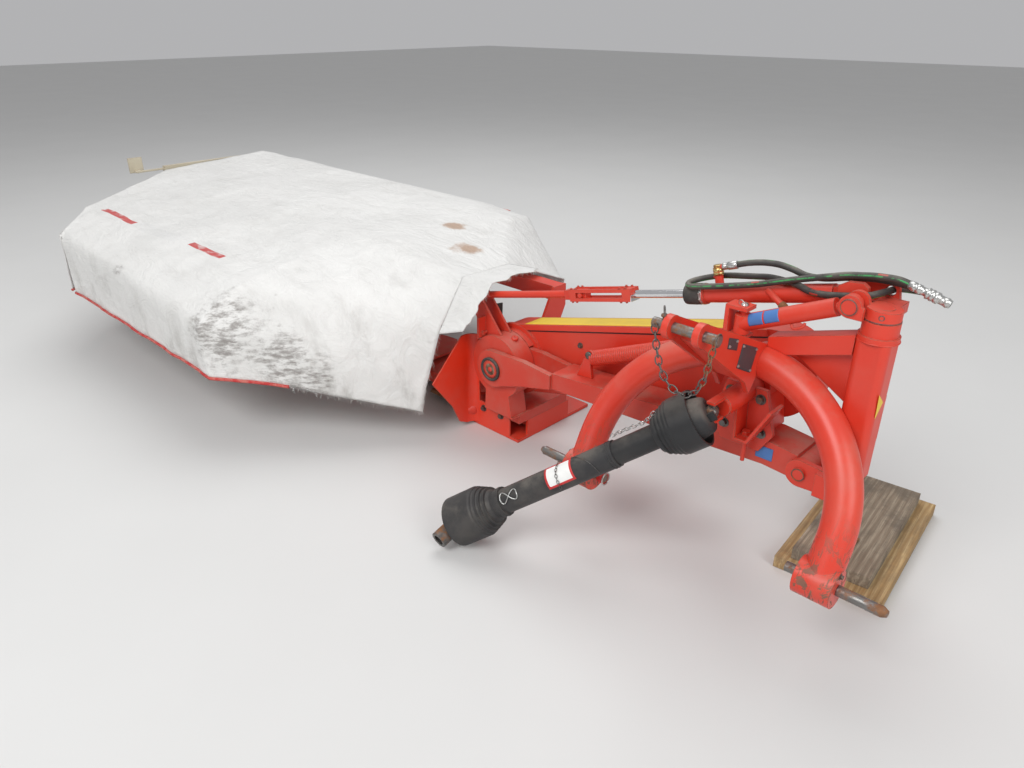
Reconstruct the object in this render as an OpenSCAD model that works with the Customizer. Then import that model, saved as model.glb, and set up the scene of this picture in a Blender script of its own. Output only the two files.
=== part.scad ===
// Rear-mounted disc mower, parked unfolded, all lengths in mm.
// X runs along the cutter bar, away from it; Y runs from the tractor to the rear; Z is up.
// Inside the modules X = 0, Y = 0 is the middle of the hitch, on the ground.

/* [Hitch] */
// Distance between the shoulders of the two lower hitch pins
hitch_span = 825; // [780:1:900]
// Height of the lower hitch pins above the ground
hitch_z = 260; // [230:1:300]
// Distance of the lower hitch pins behind the zero plane
hitch_y = 50; // [40:1:60]
// Diameter of the lower hitch pins
hitch_pin_d = 28; // [22:1:36]
// Length of a lower hitch pin outside its shoulder
hitch_pin_len = 118; // [90:1:140]
// Height of the upper hitch pin above the lower ones
mast_h = 580; // [560:1:600]
// Diameter of the upper hitch pin
mast_pin_d = 25; // [19:1:32]
// Length of the upper hitch pin
mast_pin_len = 175; // [150:1:200]
// Clear gap between the two lugs of the upper hitch pin
mast_gap = 68; // [55:1:80]

/* [Arch] */
// Outside diameter of the arch tube
arch_d = 89; // [76:1:102]
// Lean of the arch behind the vertical, in degrees
arch_lean = 28; // [24:1:30]
// Straight length at the foot of each leg
leg_straight = 100; // [92:1:106]

/* [Turret post] */
// Distance of the post's middle from the middle plane
post_x = 303; // [300:1:306]
// Distance of the post's middle behind the zero plane
post_y = 297; // [290:1:305]
// Width of the rounded square post
post_w = 82; // [76:1:90]
// Corner radius of the post
post_corner = 20; // [12:1:26]
// Height of the post's lower end
post_z0 = 430; // [425:1:440]
// Height of the post's upper end
post_z1 = 800; // [795:1:805]
// Diameter of the turning shaft in the post
swing_d = 46; // [40:1:50]
// Radial running clearance of shafts in their bores
run_gap = 0.05; // [0.02:0.01:0.08]
// Width of the square cross tube between the arch and the post
cross_w = 50; // [44:1:54]
// Slope of the cross tube, in degrees
cross_slope = 17; // [15:1:19]

/* [Arm] */
// Distance of the arm's front face behind the zero plane
arm_y = 300; // [295:1:310]
// Depth of the arm's box section
arm_t = 120; // [100:1:125]
// Height of the arm's box section at its outer end
arm_h = 58; // [52:1:62]
// Distance of the lift hinge from the middle plane
lift_x = 186; // [180:1:190]
// Height of the lift hinge
lift_z = 380; // [375:1:385]
// Diameter of the lift hinge pin
lift_pin_d = 36; // [30:1:40]
// Distance of the cutter bar's tilt axis from the middle plane
tilt_x = 1005; // [990:1:1020]
// Height of the cutter bar's tilt axis
tilt_z = 305; // [295:1:315]
// Diameter of the tilt trunnions
trunnion_d = 74; // [60:1:80]
// Wall of the fork ears
ear_t = 22; // [16:1:24]
// Radius of the gearbox drum between the ears
drum_r = 122; // [116:1:126]

/* [Belt drive] */
// Height of the power input shaft
input_z = 565; // [555:1:575]
// Radius of the belt guard's two round ends
guard_r = 132; // [120:1:140]
// Depth of the belt guard
guard_t = 105; // [90:1:110]
// Gap between the arm's rear face and the belt guard
guard_gap = 12; // [8:1:20]

/* [Cutter bar] */
// Number of discs
disc_count = 6; // [5:1:6]
// Distance between disc centres
disc_pitch = 370; // [366:1:380]
// Distance of the first disc from the tilt axis
disc_first = 330; // [325:1:340]
// Distance of the disc centres behind the zero plane
disc_y = 520; // [515:1:530]
// Long diameter of an oval disc
disc_d = 380; // [350:1:390]
// Short diameter of an oval disc
disc_w = 240; // [220:1:244]
// Depth of the cutter bar
bed_w = 230; // [210:1:240]
// Thickness of the cutter bar
bed_h = 46; // [40:1:55]
// Height of the cutter bar's underside above the ground
bed_z = 34; // [30:1:40]

/* [Lift cylinder] */
// Distance of the cylinder's line behind the zero plane
cyl_y = 360; // [356:1:364]
// Distance of the cylinder's base pin from the middle plane
base_x = 205; // [200:1:210]
// Height of the cylinder's base pin
base_z = 875; // [870:1:880]
// Distance of the rod's eye from the middle plane
eye_x = 1130; // [1120:1:1140]
// Height of the rod's eye
eye_z = 547; // [540:1:555]
// Outside diameter of the cylinder barrel
barrel_d = 50; // [46:1:56]
// Length of the barrel from its base pin to its gland
barrel_len = 410; // [400:1:415]
// Length of the black gland
gland_len = 62; // [56:1:64]
// Diameter of the chromed rod
rod_d = 25; // [22:1:28]
// Diameter of the tie rod
tie_d = 25; // [22:1:27]

/* [Drive shaft] */
// Place of the drive shaft's front end: distance from the middle plane
pto_x = 640; // [620:1:660]
// Place of the drive shaft's front end: distance before the zero plane
pto_y = 215; // [200:1:230]
// Height of the drive shaft's front end
pto_z = 66; // [64:1:70]
// Outside diameter of the guard tube
pto_tube_d = 78; // [70:1:85]
// Diameter of the guard's cones
pto_cone_d = 158; // [150:1:160]
// Bore of the front yoke, for the tractor's stub shaft
stub_bore_d = 35; // [34:1:38]
// Dip of the front yoke below the level, in degrees
yoke_dip = 17; // [10:1:18]

/* [Canopy] */
// Thickness of the canopy's cloth
cloth_t = 8; // [6:1:10]
// Outside diameter of the canopy's frame tubes
hoop_d = 34; // [27:1:42]

/* [Boards] */
// Thickness of one wooden board
board_t = 39; // [30:1:45]

/* [Hidden] */
$fn = 64;
weld = 0.2;

// Middle of the whole part's box, which is the origin
reach_x = -3925;
reach_y0 = -460;
reach_y1 = 1184;
right_x = hitch_span / 2 + hitch_pin_len;
mid_x = (reach_x + right_x) / 2;
mid_y = (reach_y0 + reach_y1) / 2;

// Colours
paint = "red";
steel = "dimgray";
black = [0.08, 0.08, 0.09];

// Arch, seen in its own leaning plane
arch_half = hitch_span / 2 - arch_d / 2;
crown_s = leg_straight + arch_half;
crown_y = hitch_y + crown_s * sin(arch_lean);
crown_z = hitch_z + crown_s * cos(arch_lean);

// Upper hitch pin
mast_y = -64;
mast_z = hitch_z + mast_h;

// Heights of the turret
neck_z = post_z1 + 50;
head_z = neck_z + 30;
stub_z = 345;
bracket_top = 412;

// Safety strut between the crown of the arch and the turret head
strut_from = [-30, 270, 758];
strut_to = [243, 270, 880];
strut_d = 46;
tongue_t = 22;
strut_pin_d = 20;

// Frame of the fork and of the lift hinge
fork_gap = arm_t + 10 - 2 * ear_t;
fork_y = arm_y + (arm_t - 10) / 2;
arm_in = 718;
ear_proud = 10;
hinge_gap = 2;
lug_t = 18;

arm_end_z = tilt_z + 12 + arm_h;
arm_profile = [[-arm_in, tilt_z + 12], [-arm_in, arm_end_z], [-80, 425], [70, 431],
    [lift_x - 20, lift_z + 40], [lift_x, lift_z - 36], [70, 353], [-80, 344]];
ear_r = 72;

// Belt guard
guard_y = arm_y + arm_t + guard_gap;
guard_turn = atan2(input_z - tilt_z, tilt_x);
guard_len = norm([tilt_x, input_z - tilt_z]);

// Cylinder's line
cyl_len = norm([base_x + eye_x, base_z - eye_z]);
cyl_turn = atan2(base_z - eye_z, base_x + eye_x);
clevis_at = 663;
clevis_len = 250;
slot_h = 17;
port_at = 367;

// Drive shaft's line, from the input shaft down to its front end
input_y = 108;
pto_from = [0, input_y, input_z];
pto_to = [-pto_x, -pto_y, pto_z];
pto_run = norm(pto_to - pto_from);
pto_az = atan2(pto_to[1] - pto_from[1], pto_to[0] - pto_from[0]);
pto_el = acos((pto_to[2] - pto_from[2]) / pto_run);

// Cutter bar
bar_x0 = -tilt_x + 75;
bar_x1 = -tilt_x - disc_first - (disc_count - 1) * disc_pitch - 230;
bed_y = disc_y + 5;
disc_z = bed_z + bed_h + 14;

// Places of the stand
stand_x = 268;
stand_y = 500;
stand_d = 40;
stand_top = 600;
board_top = 2 * board_t;

module place() {
    translate([-mid_x, -mid_y, 0]) children();
}

module xz_prism(points, y0, depth) {
    translate([0, y0 + depth, 0]) rotate([90, 0, 0]) linear_extrude(depth) polygon(points);
}

module yz_prism(points, x0, width) {
    translate([x0, 0, 0]) rotate([90, 0, 90]) linear_extrude(width) polygon(points);
}

module along_y(x, z, y0, len, d) {
    translate([x, y0, z]) rotate([-90, 0, 0]) cylinder(h = len, d = d);
}

module along_x(x0, y, z, len, d) {
    translate([x0, y, z]) rotate([0, 90, 0]) cylinder(h = len, d = d);
}

module rod(p, q, d) {
    v = q - p;
    translate(p) rotate([0, acos(v[2] / norm(v)), atan2(v[1], v[0])]) cylinder(h = norm(v), d = d);
}

module rounded_square(w, r) {
    square([w - 2 * r, w], center = true);
    square([w, w - 2 * r], center = true);
    for (i = [-1, 1], j = [-1, 1]) translate([i * (w / 2 - r), j * (w / 2 - r)]) circle(r);
}

// Arch tube grown by some clearance, in the part's own place
module arch_solid(grow = 0) {
    d = arch_d + 2 * grow;
    translate([0, hitch_y, hitch_z]) rotate([-arch_lean, 0, 0]) {
        for (side = [-1, 1]) translate([side * arch_half, 0, -1]) cylinder(h = leg_straight + 2, d = d + 0.6);
        translate([0, 0, leg_straight]) rotate([90, 0, 0]) rotate_extrude(angle = 180)
            translate([arch_half, 0]) circle(d = d);
    }
}

module scale_x(side) {
    if (side > 0) children();
    else mirror([1, 0, 0]) children();
}

module arch_tube() place() color(paint) {
    difference() {
        union() {
            arch_solid();
            for (side = [-1, 1]) scale_x(side)
                along_x(arch_half - 50, hitch_y, hitch_z, hitch_span / 2 - arch_half + 50, arch_d + 10);
        }
        for (side = [-1, 1]) scale_x(side) {
            along_x(arch_half - 60, hitch_y, hitch_z, 120, hitch_pin_d - 2 + 2 * run_gap);
            translate([hitch_span / 2, hitch_y - 80, hitch_z - 80]) cube([40, 160, 140]);
        }
    }
}

module hitch_pins() place() color(steel) {
    shoulder = hitch_span / 2 + 1;
    for (side = [-1, 1]) scale_x(side) {
        along_x(arch_half - 85, hitch_y, hitch_z, shoulder - arch_half + 85, hitch_pin_d - 2);
        along_x(shoulder, hitch_y, hitch_z, right_x - 12 - shoulder, hitch_pin_d);
        translate([right_x - 12, hitch_y, hitch_z]) rotate([0, 90, 0])
            cylinder(h = 12, d1 = hitch_pin_d, d2 = hitch_pin_d - 12);
    }
}

// Outline of one side cheek of the mast bracket, in the YZ plane
cheek = [[mast_y - 26, mast_z - 12], [mast_y - 20, mast_z + 18], [mast_y + 12, mast_z + 26],
    [crown_y - 10, crown_z + 52], [crown_y + 20, crown_z + 46], [crown_y - 70, crown_z - 72],
    [crown_y - 100, crown_z - 30]];
mast_half = mast_gap / 2;

module mast_bracket() place() color(paint) {
    x0 = strut_from[0] - 42;
    y0 = strut_from[1] - 25;
    z0 = strut_from[2] - 38;
    difference() {
        union() {
            for (side = [-1, 1]) scale_x(side) {
                yz_prism(cheek, mast_half, 14);
                along_x(mast_half - 2, mast_y, mast_z, 18, mast_pin_d + 34);
            }
            yz_prism([[mast_y + 38, mast_z - 40], [mast_y + 46, mast_z - 12], [crown_y - 30, crown_z + 58],
                [crown_y - 84, crown_z - 28], [crown_y - 98, crown_z - 28]], -mast_half - 1,
                2 * mast_half + 2);
            for (z = [z0, z0 + 78]) translate([x0, y0, z]) cube([62, 50, 10]);
            translate([x0, y0, z0 - 30]) cube([12, 50, 118]);
            translate([strut_from[0], strut_from[1], z0 + 5]) cylinder(h = 78, d = strut_pin_d);
        }
        arch_solid(weld);
        along_x(-mast_half - 30, mast_y, mast_z, 2 * mast_half + 60, mast_pin_d + 2 * run_gap);
    }
}

module mast_pin() place() color(steel) {
    along_x(-mast_pin_len / 2, mast_y, mast_z, mast_pin_len, mast_pin_d);
}

module turret_post() place() color(paint) {
    difference() {
        union() {
            translate([post_x, post_y, post_z0]) linear_extrude(post_z1 - post_z0)
                rounded_square(post_w, post_corner);
            translate([post_x, post_y, post_z1]) cylinder(h = 14, d = post_w + 14);
            translate([post_x, post_y, post_z1]) cylinder(h = neck_z - post_z1 - 0.6, d = post_w + 4);
        }
        translate([post_x, post_y, post_z0 - 1])
            cylinder(h = neck_z - post_z0 + 2, d = swing_d + 2 * run_gap);
        arch_solid(weld);
    }
}

module cross_tube() place() color(paint) {
    left = mast_half + 14 + weld;
    right = post_x - post_w / 2 - weld;
    high = cross_w / cos(cross_slope);
    rise = (right - left) * tan(cross_slope);
    top = post_z1 + 8;
    y0 = post_y - 31;
    difference() {
        union() {
            xz_prism([[left, top - rise - high], [left, top - rise], [right, top], [right, top - high]],
                y0, cross_w);
            xz_prism([[left + 60, top - high - 46], [right, top - high + 4], [right, top - 194]], y0 + 28, 8);
        }
        arch_solid(weld);
        translate([post_x, post_y, post_z1 - weld]) cylinder(h = 40, d = post_w + 14 + 2 * weld);
    }
}

module lower_boards() place() color("burlywood") {
    for (i = [0, 1]) translate([135 + i * 160, 350, 0]) rotate([0, 0, 5]) cube([150, 600, board_t]);
}

module upper_board() place() color("tan") {
    translate([175, 372, board_t]) rotate([0, 0, 5]) cube([220, 540, board_t]);
}

module stand_sleeve() place() color(paint) {
    face = post_y + post_w / 2 + weld;
    difference() {
        union() {
            translate([stand_x, stand_y, 440]) cylinder(h = 130, d = stand_d + 12);
            translate([stand_x + 2, face, 450]) cube([22, stand_y - face, 90]);
        }
        translate([stand_x, stand_y, 439]) cylinder(h = 132, d = stand_d + 2 * run_gap);
    }
}

module stand_leg() place() color(steel) {
    foot = board_top + weld;
    translate([stand_x, stand_y, foot]) cylinder(h = stand_top - foot, d = stand_d);
    translate([stand_x - 35, stand_y - 40, foot]) cube([70, 80, 8]);
}

module turret_head() place() color(paint) {
    lug_gap = tongue_t / 2 + 6;
    block_x = post_x - post_w / 2;
    front = cyl_y - 36;
    rear = cyl_y + 20;
    difference() {
        union() {
            translate([post_x, post_y, stub_z]) cylinder(h = head_z - stub_z, d = swing_d);
            intersection() {
                translate([post_x, post_y, neck_z]) cylinder(h = 60, d = post_w + 2);
                xz_prism([[post_x - 32, neck_z], [post_x - 32, neck_z + 32], [post_x + 50, neck_z + 26],
                    [post_x + 50, neck_z]], post_y - 50, 100);
            }
            translate([block_x + 4, post_y + 20, neck_z + 2]) cube([post_w - 20, rear - post_y - 16, 26]);
            xz_prism([[base_x - 25, base_z - 18], [base_x - 28, base_z + 22], [base_x - 5, base_z + 37],
                [base_x + 31, base_z + 40], [base_x + 44, base_z + 31], [base_x + 48, neck_z + 30],
                [block_x + 20, neck_z + 24], [block_x + 20, neck_z + 2], [base_x + 20, neck_z + 2]],
                front, 14);
            xz_prism([[base_x - 25, base_z - 18], [base_x - 28, base_z + 16], [base_x, base_z + 28],
                [post_x - 16, base_z + 39], [post_x - 6, base_z + 38], [post_x - 2, base_z + 30],
                [post_x + 9, neck_z + 2], [base_x + 20, neck_z + 2]], rear, 12);
            along_y(base_x, base_z, front, rear + 12 - front, 25);
            for (y = [strut_to[1] - lug_gap - 12, strut_to[1] + lug_gap]) {
                xz_prism([[strut_to[0], strut_to[2] - 28], [strut_to[0], strut_to[2] + 28],
                    [block_x + 14, neck_z + 30], [block_x + 14, neck_z + 2]], y, 12);
                along_y(strut_to[0], strut_to[2], y, 12, 56);
            }
            along_y(strut_to[0], strut_to[2], strut_to[1] - lug_gap - 16, 2 * lug_gap + 28, strut_pin_d);
            along_y(strut_to[0], strut_to[2], strut_to[1] - lug_gap - 17, 6, 41);
        }
        along_y(post_x - 20, neck_z + 45, cyl_y, 60, 24);
    }
}

module swing_bracket() place() color(paint) {
    top = bracket_top;
    front = arm_y - hinge_gap - lug_t;
    depth = arm_t + 2 * hinge_gap + 2 * lug_t;
    difference() {
        union() {
            translate([post_x, post_y, stub_z]) cylinder(h = top - stub_z, d = 78);
            for (y = [front, front + depth - lug_t]) {
                xz_prism([[lift_x, lift_z - 40], [lift_x, lift_z + 40], [lift_x + 80, top],
                    [lift_x + 80, stub_z]], y, lug_t);
                along_y(lift_x, lift_z, y, lug_t, 80);
            }
            along_y(lift_x, lift_z, front - 8, depth + 16, lift_pin_d);
            translate([lift_x + 50, front, stub_z]) cube([28, depth, top - stub_z]);
            translate([lift_x + 50, post_y - 39, stub_z]) cube([60, 78, top - stub_z]);
        }
        translate([post_x, post_y, stub_z - 1]) cylinder(h = 80, d = swing_d + 2 * run_gap);
    }
}

module safety_strut() place() color(paint) {
    run = norm(strut_to - strut_from);
    slot = [-9, 3];
    hole = strut_pin_d + 2 * run_gap;
    difference() {
        union() {
            rod(strut_from, strut_to + (strut_from - strut_to) * 40 / run, strut_d);
            translate(strut_from - [0, 0, 26]) cylinder(h = 52, d = 44);
            rod(strut_to + (strut_from - strut_to) * 60 / run, strut_to, tongue_t - weld);
            along_y(strut_to[0] - 7, strut_to[2], strut_to[1] - tongue_t / 2, tongue_t, 44);
            along_y(strut_to[0], strut_to[2], strut_to[1] - tongue_t / 2, tongue_t, 36);
        }
        translate(strut_from - [0, 0, 40]) cylinder(h = 80, d = hole);
        for (x = slot) along_y(strut_to[0] + x, strut_to[2], strut_to[1] - 40, 80, hole);
        translate([strut_to[0] + slot[0], strut_to[1] - 40, strut_to[2] - hole / 2])
            cube([slot[1] - slot[0], 80, hole]);
    }
}

module arm_beam() place() color(paint) {
    difference() {
        union() {
            xz_prism(arm_profile, arm_y, arm_t);
            along_y(lift_x, lift_z, arm_y, arm_t, 70);
            for (y = [arm_y - ear_proud, arm_y + arm_t - ear_t]) {
                xz_prism([[-tilt_x, tilt_z + ear_r], [-tilt_x + 157, tilt_z + 76], [-arm_in, arm_end_z - 5],
                    [-arm_in + 1, arm_end_z - 5], [-arm_in + 1, tilt_z + 12], [-tilt_x + 144, tilt_z - 25],
                    [-tilt_x, tilt_z - ear_r]], y, ear_t);
                along_y(-tilt_x, tilt_z, y, ear_t, 2 * ear_r);
            }
        }
        along_y(-tilt_x, tilt_z, arm_y - 20, arm_t + 40, trunnion_d + 2 * run_gap);
        along_y(lift_x, lift_z, arm_y - 1, arm_t + 2, lift_pin_d + 2 * run_gap);
    }
}

module belt_guard() place() color(paint) {
    translate([-tilt_x, guard_y + guard_t, tilt_z]) rotate([90, 0, 0]) rotate([0, 0, guard_turn])
        linear_extrude(guard_t) {
            translate([0, -guard_r]) square([guard_len, 2 * guard_r]);
            circle(guard_r);
            translate([guard_len, 0]) circle(guard_r);
        }
    translate([-tilt_x, guard_y + 5, tilt_z]) rotate([90, 0, 0]) {
        cylinder(h = 15, r = guard_r + 8);
        rotate([0, 0, 42]) rotate_extrude(angle = 100) translate([drum_r - 10, 0]) square([10, 38]);
    }
}

module input_housing() place() color(paint) {
    foot = 425;
    seat = 431 + weld;
    along_y(0, input_z, arm_y + 30, guard_y - weld - arm_y - 30, 96);
    along_y(0, input_z, input_y + 46, arm_y - input_y - 16, 60);
    along_y(0, input_z, input_y + 40, 10, 56);
    for (side = [-1, 1]) translate([-12, input_y - 12, input_z + side * 28 - 4]) cube([24, 56, 8]);
    xz_prism([[-90, foot + 30], [-60, input_z + 16], [60, input_z + 16], [95, foot + 30],
        [60, foot - 30], [-60, foot - 30]], arm_y - 14, 14 - weld);
    xz_prism([[-60, seat], [-40, input_z], [40, input_z], [60, seat]], arm_y - 2,
        arm_t + guard_gap + 1);
    xz_prism([[0, 590], [8, 590], [16, 448], [46, 448], [100, 555], [108, 551], [52, 440], [8, 440]],
        arm_y - 76, 70);
    translate([30, arm_y - 40, 366]) cylinder(h = 90, d = 12);
    translate([30, arm_y - 40, 448]) cylinder(h = 12, d = 26, $fn = 6);
}

module belt_spring() place() color(paint) {
    low = [-590, 365, 452];
    high = [-255, 365, 593];
    wire = 9.5;
    run = norm(high - low);
    coils = floor((run - wire) / (0.94 * wire));
    difference() {
        union() {
            translate(low) rotate([0, acos((high[2] - low[2]) / run), 0]) rotate_extrude() {
                square([27 - wire / 2, run]);
                for (i = [0 : coils]) translate([27 - wire / 2, (0.5 + 0.94 * i) * wire]) circle(d = wire);
            }
            xz_prism([[low[0] - 54, arm_end_z], [low[0] - 24, 452], [low[0], 458],
                [low[0] + 12, arm_end_z + 10]], 345, 12);
            translate([high[0] - 10, 350, high[2] - 25]) cube([16, guard_y - weld - 350, 50]);
        }
        translate([0, -weld, weld]) xz_prism(arm_profile, arm_y, arm_t);
    }
}

// Placed on the cylinder's line: the base pin at zero, the rod's eye up its own Z
module cylinder_axis() {
    translate([base_x, cyl_y, base_z]) rotate([0, 0, 180]) rotate([0, 90 + cyl_turn, 0]) children();
}

module lift_barrel() place() color(paint) {
    cylinder_axis() difference() {
        union() {
            translate([0, 0, 44]) cylinder(h = barrel_len - 44, d = barrel_d);
            translate([0, 0, barrel_len]) cylinder(h = gland_len, d = barrel_d + 6);
            translate([0, 0, barrel_len - 2]) cylinder(h = 12, d = barrel_d + 9);
            translate([-20, -14, 0]) cube([40, 28, 60]);
            translate([0, 14, 0]) rotate([90, 0, 0]) cylinder(h = 28, d = 46);
            translate([0, 0, port_at]) rotate([0, -90, 0]) cylinder(h = 54, d = 24);
            translate([0, 0, port_at]) rotate([0, -90, 0]) cylinder(h = 80, d = 14);
            translate([-54, 0, port_at]) rotate([0, -90, 0]) cylinder(h = 20, d = 28);
        }
        translate([0, 0, 90]) cylinder(h = barrel_len, d = rod_d + 2 * run_gap);
        translate([0, 30, 0]) rotate([90, 0, 0]) cylinder(h = 60, d = 25 + 2 * run_gap);
    }
    rod([-160, cyl_y, 863], hose_route[0] - [1.5, 0, 0.5], 15);
}

module lift_rod() place() color("silver") cylinder_axis() {
    translate([0, 0, 350]) cylinder(h = clevis_at + 25 - 350, d = rod_d);
    translate([-20, -14 - weld / 2, clevis_at]) cube([40, 28 + weld, 28]);
    for (side = [-1, 1]) difference() {
        translate([-20, side * 18 - 4, clevis_at]) cube([40, 8, clevis_len]);
        translate([-slot_h / 2, side * 18 - 5, clevis_at + 35]) cube([slot_h, 10, 188]);
    }
}

module tie_rod() place() color(paint) cylinder_axis() {
    inner = clevis_at + 187;
    translate([0, 0, inner + 60]) cylinder(h = cyl_len - inner - 60, d = tie_d);
    translate([-16, -13.5, inner]) cube([32, 27, 90]);
    translate([0, 24, inner + 18]) rotate([90, 0, 0]) cylinder(h = 48, d = 16);
    translate([0, 15, cyl_len]) rotate([90, 0, 0]) cylinder(h = 30, d = 44);
}

module cutter_bed() place() color(paint) {
    yz_prism([[bed_y - bed_w / 2, bed_z + 12], [bed_y - bed_w / 2 + 24, bed_z + bed_h],
        [bed_y + bed_w / 2, bed_z + bed_h], [bed_y + bed_w / 2, bed_z],
        [bed_y - bed_w / 2 + 24, bed_z]], bar_x1, bar_x0 - bar_x1);
    for (i = [0 : disc_count - 1])
        translate([-tilt_x - disc_first - i * disc_pitch, disc_y, bed_z + bed_h - 2])
            cylinder(h = disc_z - bed_z - bed_h + 20, d = 60);
}

module skids() place() color(steel) {
    for (i = [0 : disc_count - 1]) yz_prism([[bed_y - 160, 26], [bed_y - 110, 0], [bed_y + 120, 0],
        [bed_y + 130, 26], [bed_y + 120, bed_z - weld], [bed_y - 90, bed_z - weld], [bed_y - 150, 36]],
        -tilt_x - disc_first - i * disc_pitch - 125, 250);
}

module disc(i) place() color("firebrick") {
    translate([-tilt_x - disc_first - i * disc_pitch, disc_y, disc_z]) rotate([0, 0, 90 * (i % 2)])
        difference() {
            union() {
                resize_oval() linear_extrude(12) circle(d = disc_d);
                cylinder(h = 40, d = 120);
                for (s = [-1, 1]) translate([s * (disc_d / 2 - 2) - 22, -20, -5]) cube([44, 40, 6]);
            }
            translate([0, 0, -1]) cylinder(h = 25, d = 60 + 2 * run_gap);
        }
}

module resize_oval() {
    intersection() {
        children();
        translate([-disc_d, -disc_w / 2, -1]) cube([2 * disc_d, disc_w, 60]);
    }
}

module disc_1() { disc(0); }
module disc_2() { disc(1); }
module disc_3() { disc(2); }
module disc_4() { disc(3); }
module disc_5() { disc(4); }
module disc_6() { disc(5); }

module inner_shoe() place() color(paint) {
    x0 = -tilt_x - 165;
    x1 = bar_x0 + 12;
    nose_y = 345;
    corner = 42;
    translate([x0, nose_y, 0]) cube([x1 - x0, 425, 12]);
    translate([x0 + corner - 0.5, nose_y, 0]) cube([x1 - 45 - x0 - corner, 6, 110]);
    translate([bar_x0 + weld, 400, 0]) cube([12 - weld, 240, bed_z + bed_h]);
    translate([x0 + corner, nose_y + 6 - corner, 11]) rotate([0, 0, 90]) rotate_extrude(angle = 90)
        translate([corner - 6, 0]) square([6, 379]);
    yz_prism([[139, 237], [292, 390], [nose_y + 7 - corner, 390], [nose_y + 7 - corner, 11], [270, 30],
        [236, 106]], x0, 6);
}

module outer_shoe() place() color(paint) {
    translate([bar_x1 - 70, 380, 0]) cube([69, 420, 14]);
    translate([bar_x1 - 14, 380, 0]) cube([14 - weld, 420, 254]);
}

module gearbox() place() color(paint) {
    w = fork_gap - 4;
    foot = bed_z + bed_h + weld;
    front = fork_y - w / 2;
    difference() {
        union() {
            xz_prism([[-tilt_x - 62, foot], [-tilt_x - 50, tilt_z], [-tilt_x + 50, tilt_z],
                [-tilt_x + 88, foot]], front, w);
            translate([-tilt_x - 62, front, foot]) cube([150, bed_y + 100 - front, 40]);
        }
        translate([-tilt_x - 70, front - 1, foot - 1]) cube([170, 38, 33]);
    }
    along_y(-tilt_x, tilt_z, front, w, 2 * drum_r);
    along_y(-tilt_x, tilt_z, arm_y - ear_proud - 6, arm_t + ear_proud + 6.5, trunnion_d);
}

module lift_lever() place() color(paint) difference() {
    union() {
        for (side = [-1, 1]) difference() {
            union() {
                xz_prism([[-tilt_x - 80, tilt_z + 70], [-eye_x - 26, eye_z + 4], [-eye_x + 26, eye_z + 12],
                    [-tilt_x + 30, tilt_z + 100]], cyl_y + side * 24 - 4, 8);
                along_y(-eye_x, eye_z, cyl_y + side * 24 - 4, 8, 52);
            }
        }
        difference() {
            translate([-tilt_x - 76, arm_y - 6, tilt_z + 62]) cube([8, 102, 118]);
            translate([-tilt_x - 80, cyl_y - 21, tilt_z + 130]) cube([16, 42, 60]);
        }
        along_y(-tilt_x - 64, tilt_z + 118, arm_y + 6, 86, 10);
        for (y = [arm_y + 10, arm_y + 78]) translate([-tilt_x - 69, y, tilt_z + 110]) cube([10, 8, 16]);
    }
    along_y(-tilt_x, tilt_z, cyl_y - 80, 140, 2 * drum_r + 2 * weld);
}

// Canopy: four sections across, from the inner lip to the outer end.
// Each point is [x, y, z]; columns: front hem, front shoulder, front top, middle, rear top,
// rear shoulder, rear hem
canopy_sections = [
    [[-1180, 95, 130], [-1178, 110, 210], [-1176, 190, 430], [-1190, 330, 615], [-1210, 600, 600],
        [-1225, 960, 450], [-1230, 980, 310]],
    [[-1530, -250, 240], [-1545, -240, 400], [-1560, -80, 560], [-1580, 350, 655], [-1600, 1000, 660],
        [-1620, 1170, 625], [-1600, 1175, 340]],
    [[-1760, -440, 265], [-1780, -450, 480], [-1800, -250, 585], [-1850, 350, 665], [-1900, 1050, 675],
        [-1900, 1180, 640], [-1900, 1180, 340]],
    [[-3130, -440, 270], [-3140, -450, 560], [-3340, -240, 625], [-3860, 400, 655], [-3880, 1050, 690],
        [-3890, 1180, 650], [-3890, 1180, 350]]];
// Direction in which the cloth is thick, for each column
canopy_inward = [[0, 1, 0], [0, 1, -0.6], [0, 0.4, -1], [0, 0, -1], [0, -0.4, -1], [0, -1, -0.6], [0, -1, 0]];

module canopy() place() color("whitesmoke") {
    rows = len(canopy_sections);
    cols = len(canopy_inward);
    outer = [for (s = canopy_sections, j = [0 : cols - 1]) s[j]];
    inner = [for (s = canopy_sections, j = [0 : cols - 1]) s[j] + cloth_t * canopy_inward[j]];
    n = rows * cols;
    last = (rows - 1) * cols;
    skin = [for (i = [0 : rows - 2], j = [0 : cols - 2]) let (a = i * cols + j, b = a + 1, c = a + cols,
        d = c + 1) each [[a, c, b], [b, c, d], [n + a, n + b, n + c], [n + b, n + d, n + c]]];
    hems = [for (i = [0 : rows - 2], e = [0, cols - 1]) let (a = i * cols + e, b = a + cols)
        each (e == 0 ? [[a, n + a, b], [b, n + a, n + b]] : [[a, b, n + a], [b, n + b, n + a]])];
    ends = [for (j = [0 : cols - 2], e = [0, last]) let (a = e + j, b = a + 1)
        each (e == 0 ? [[a, b, n + a], [b, n + b, n + a]] : [[a, n + a, b], [b, n + a, n + b]])];
    polyhedron(points = concat(outer, inner), faces = concat(skin, hems, ends));
}

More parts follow.
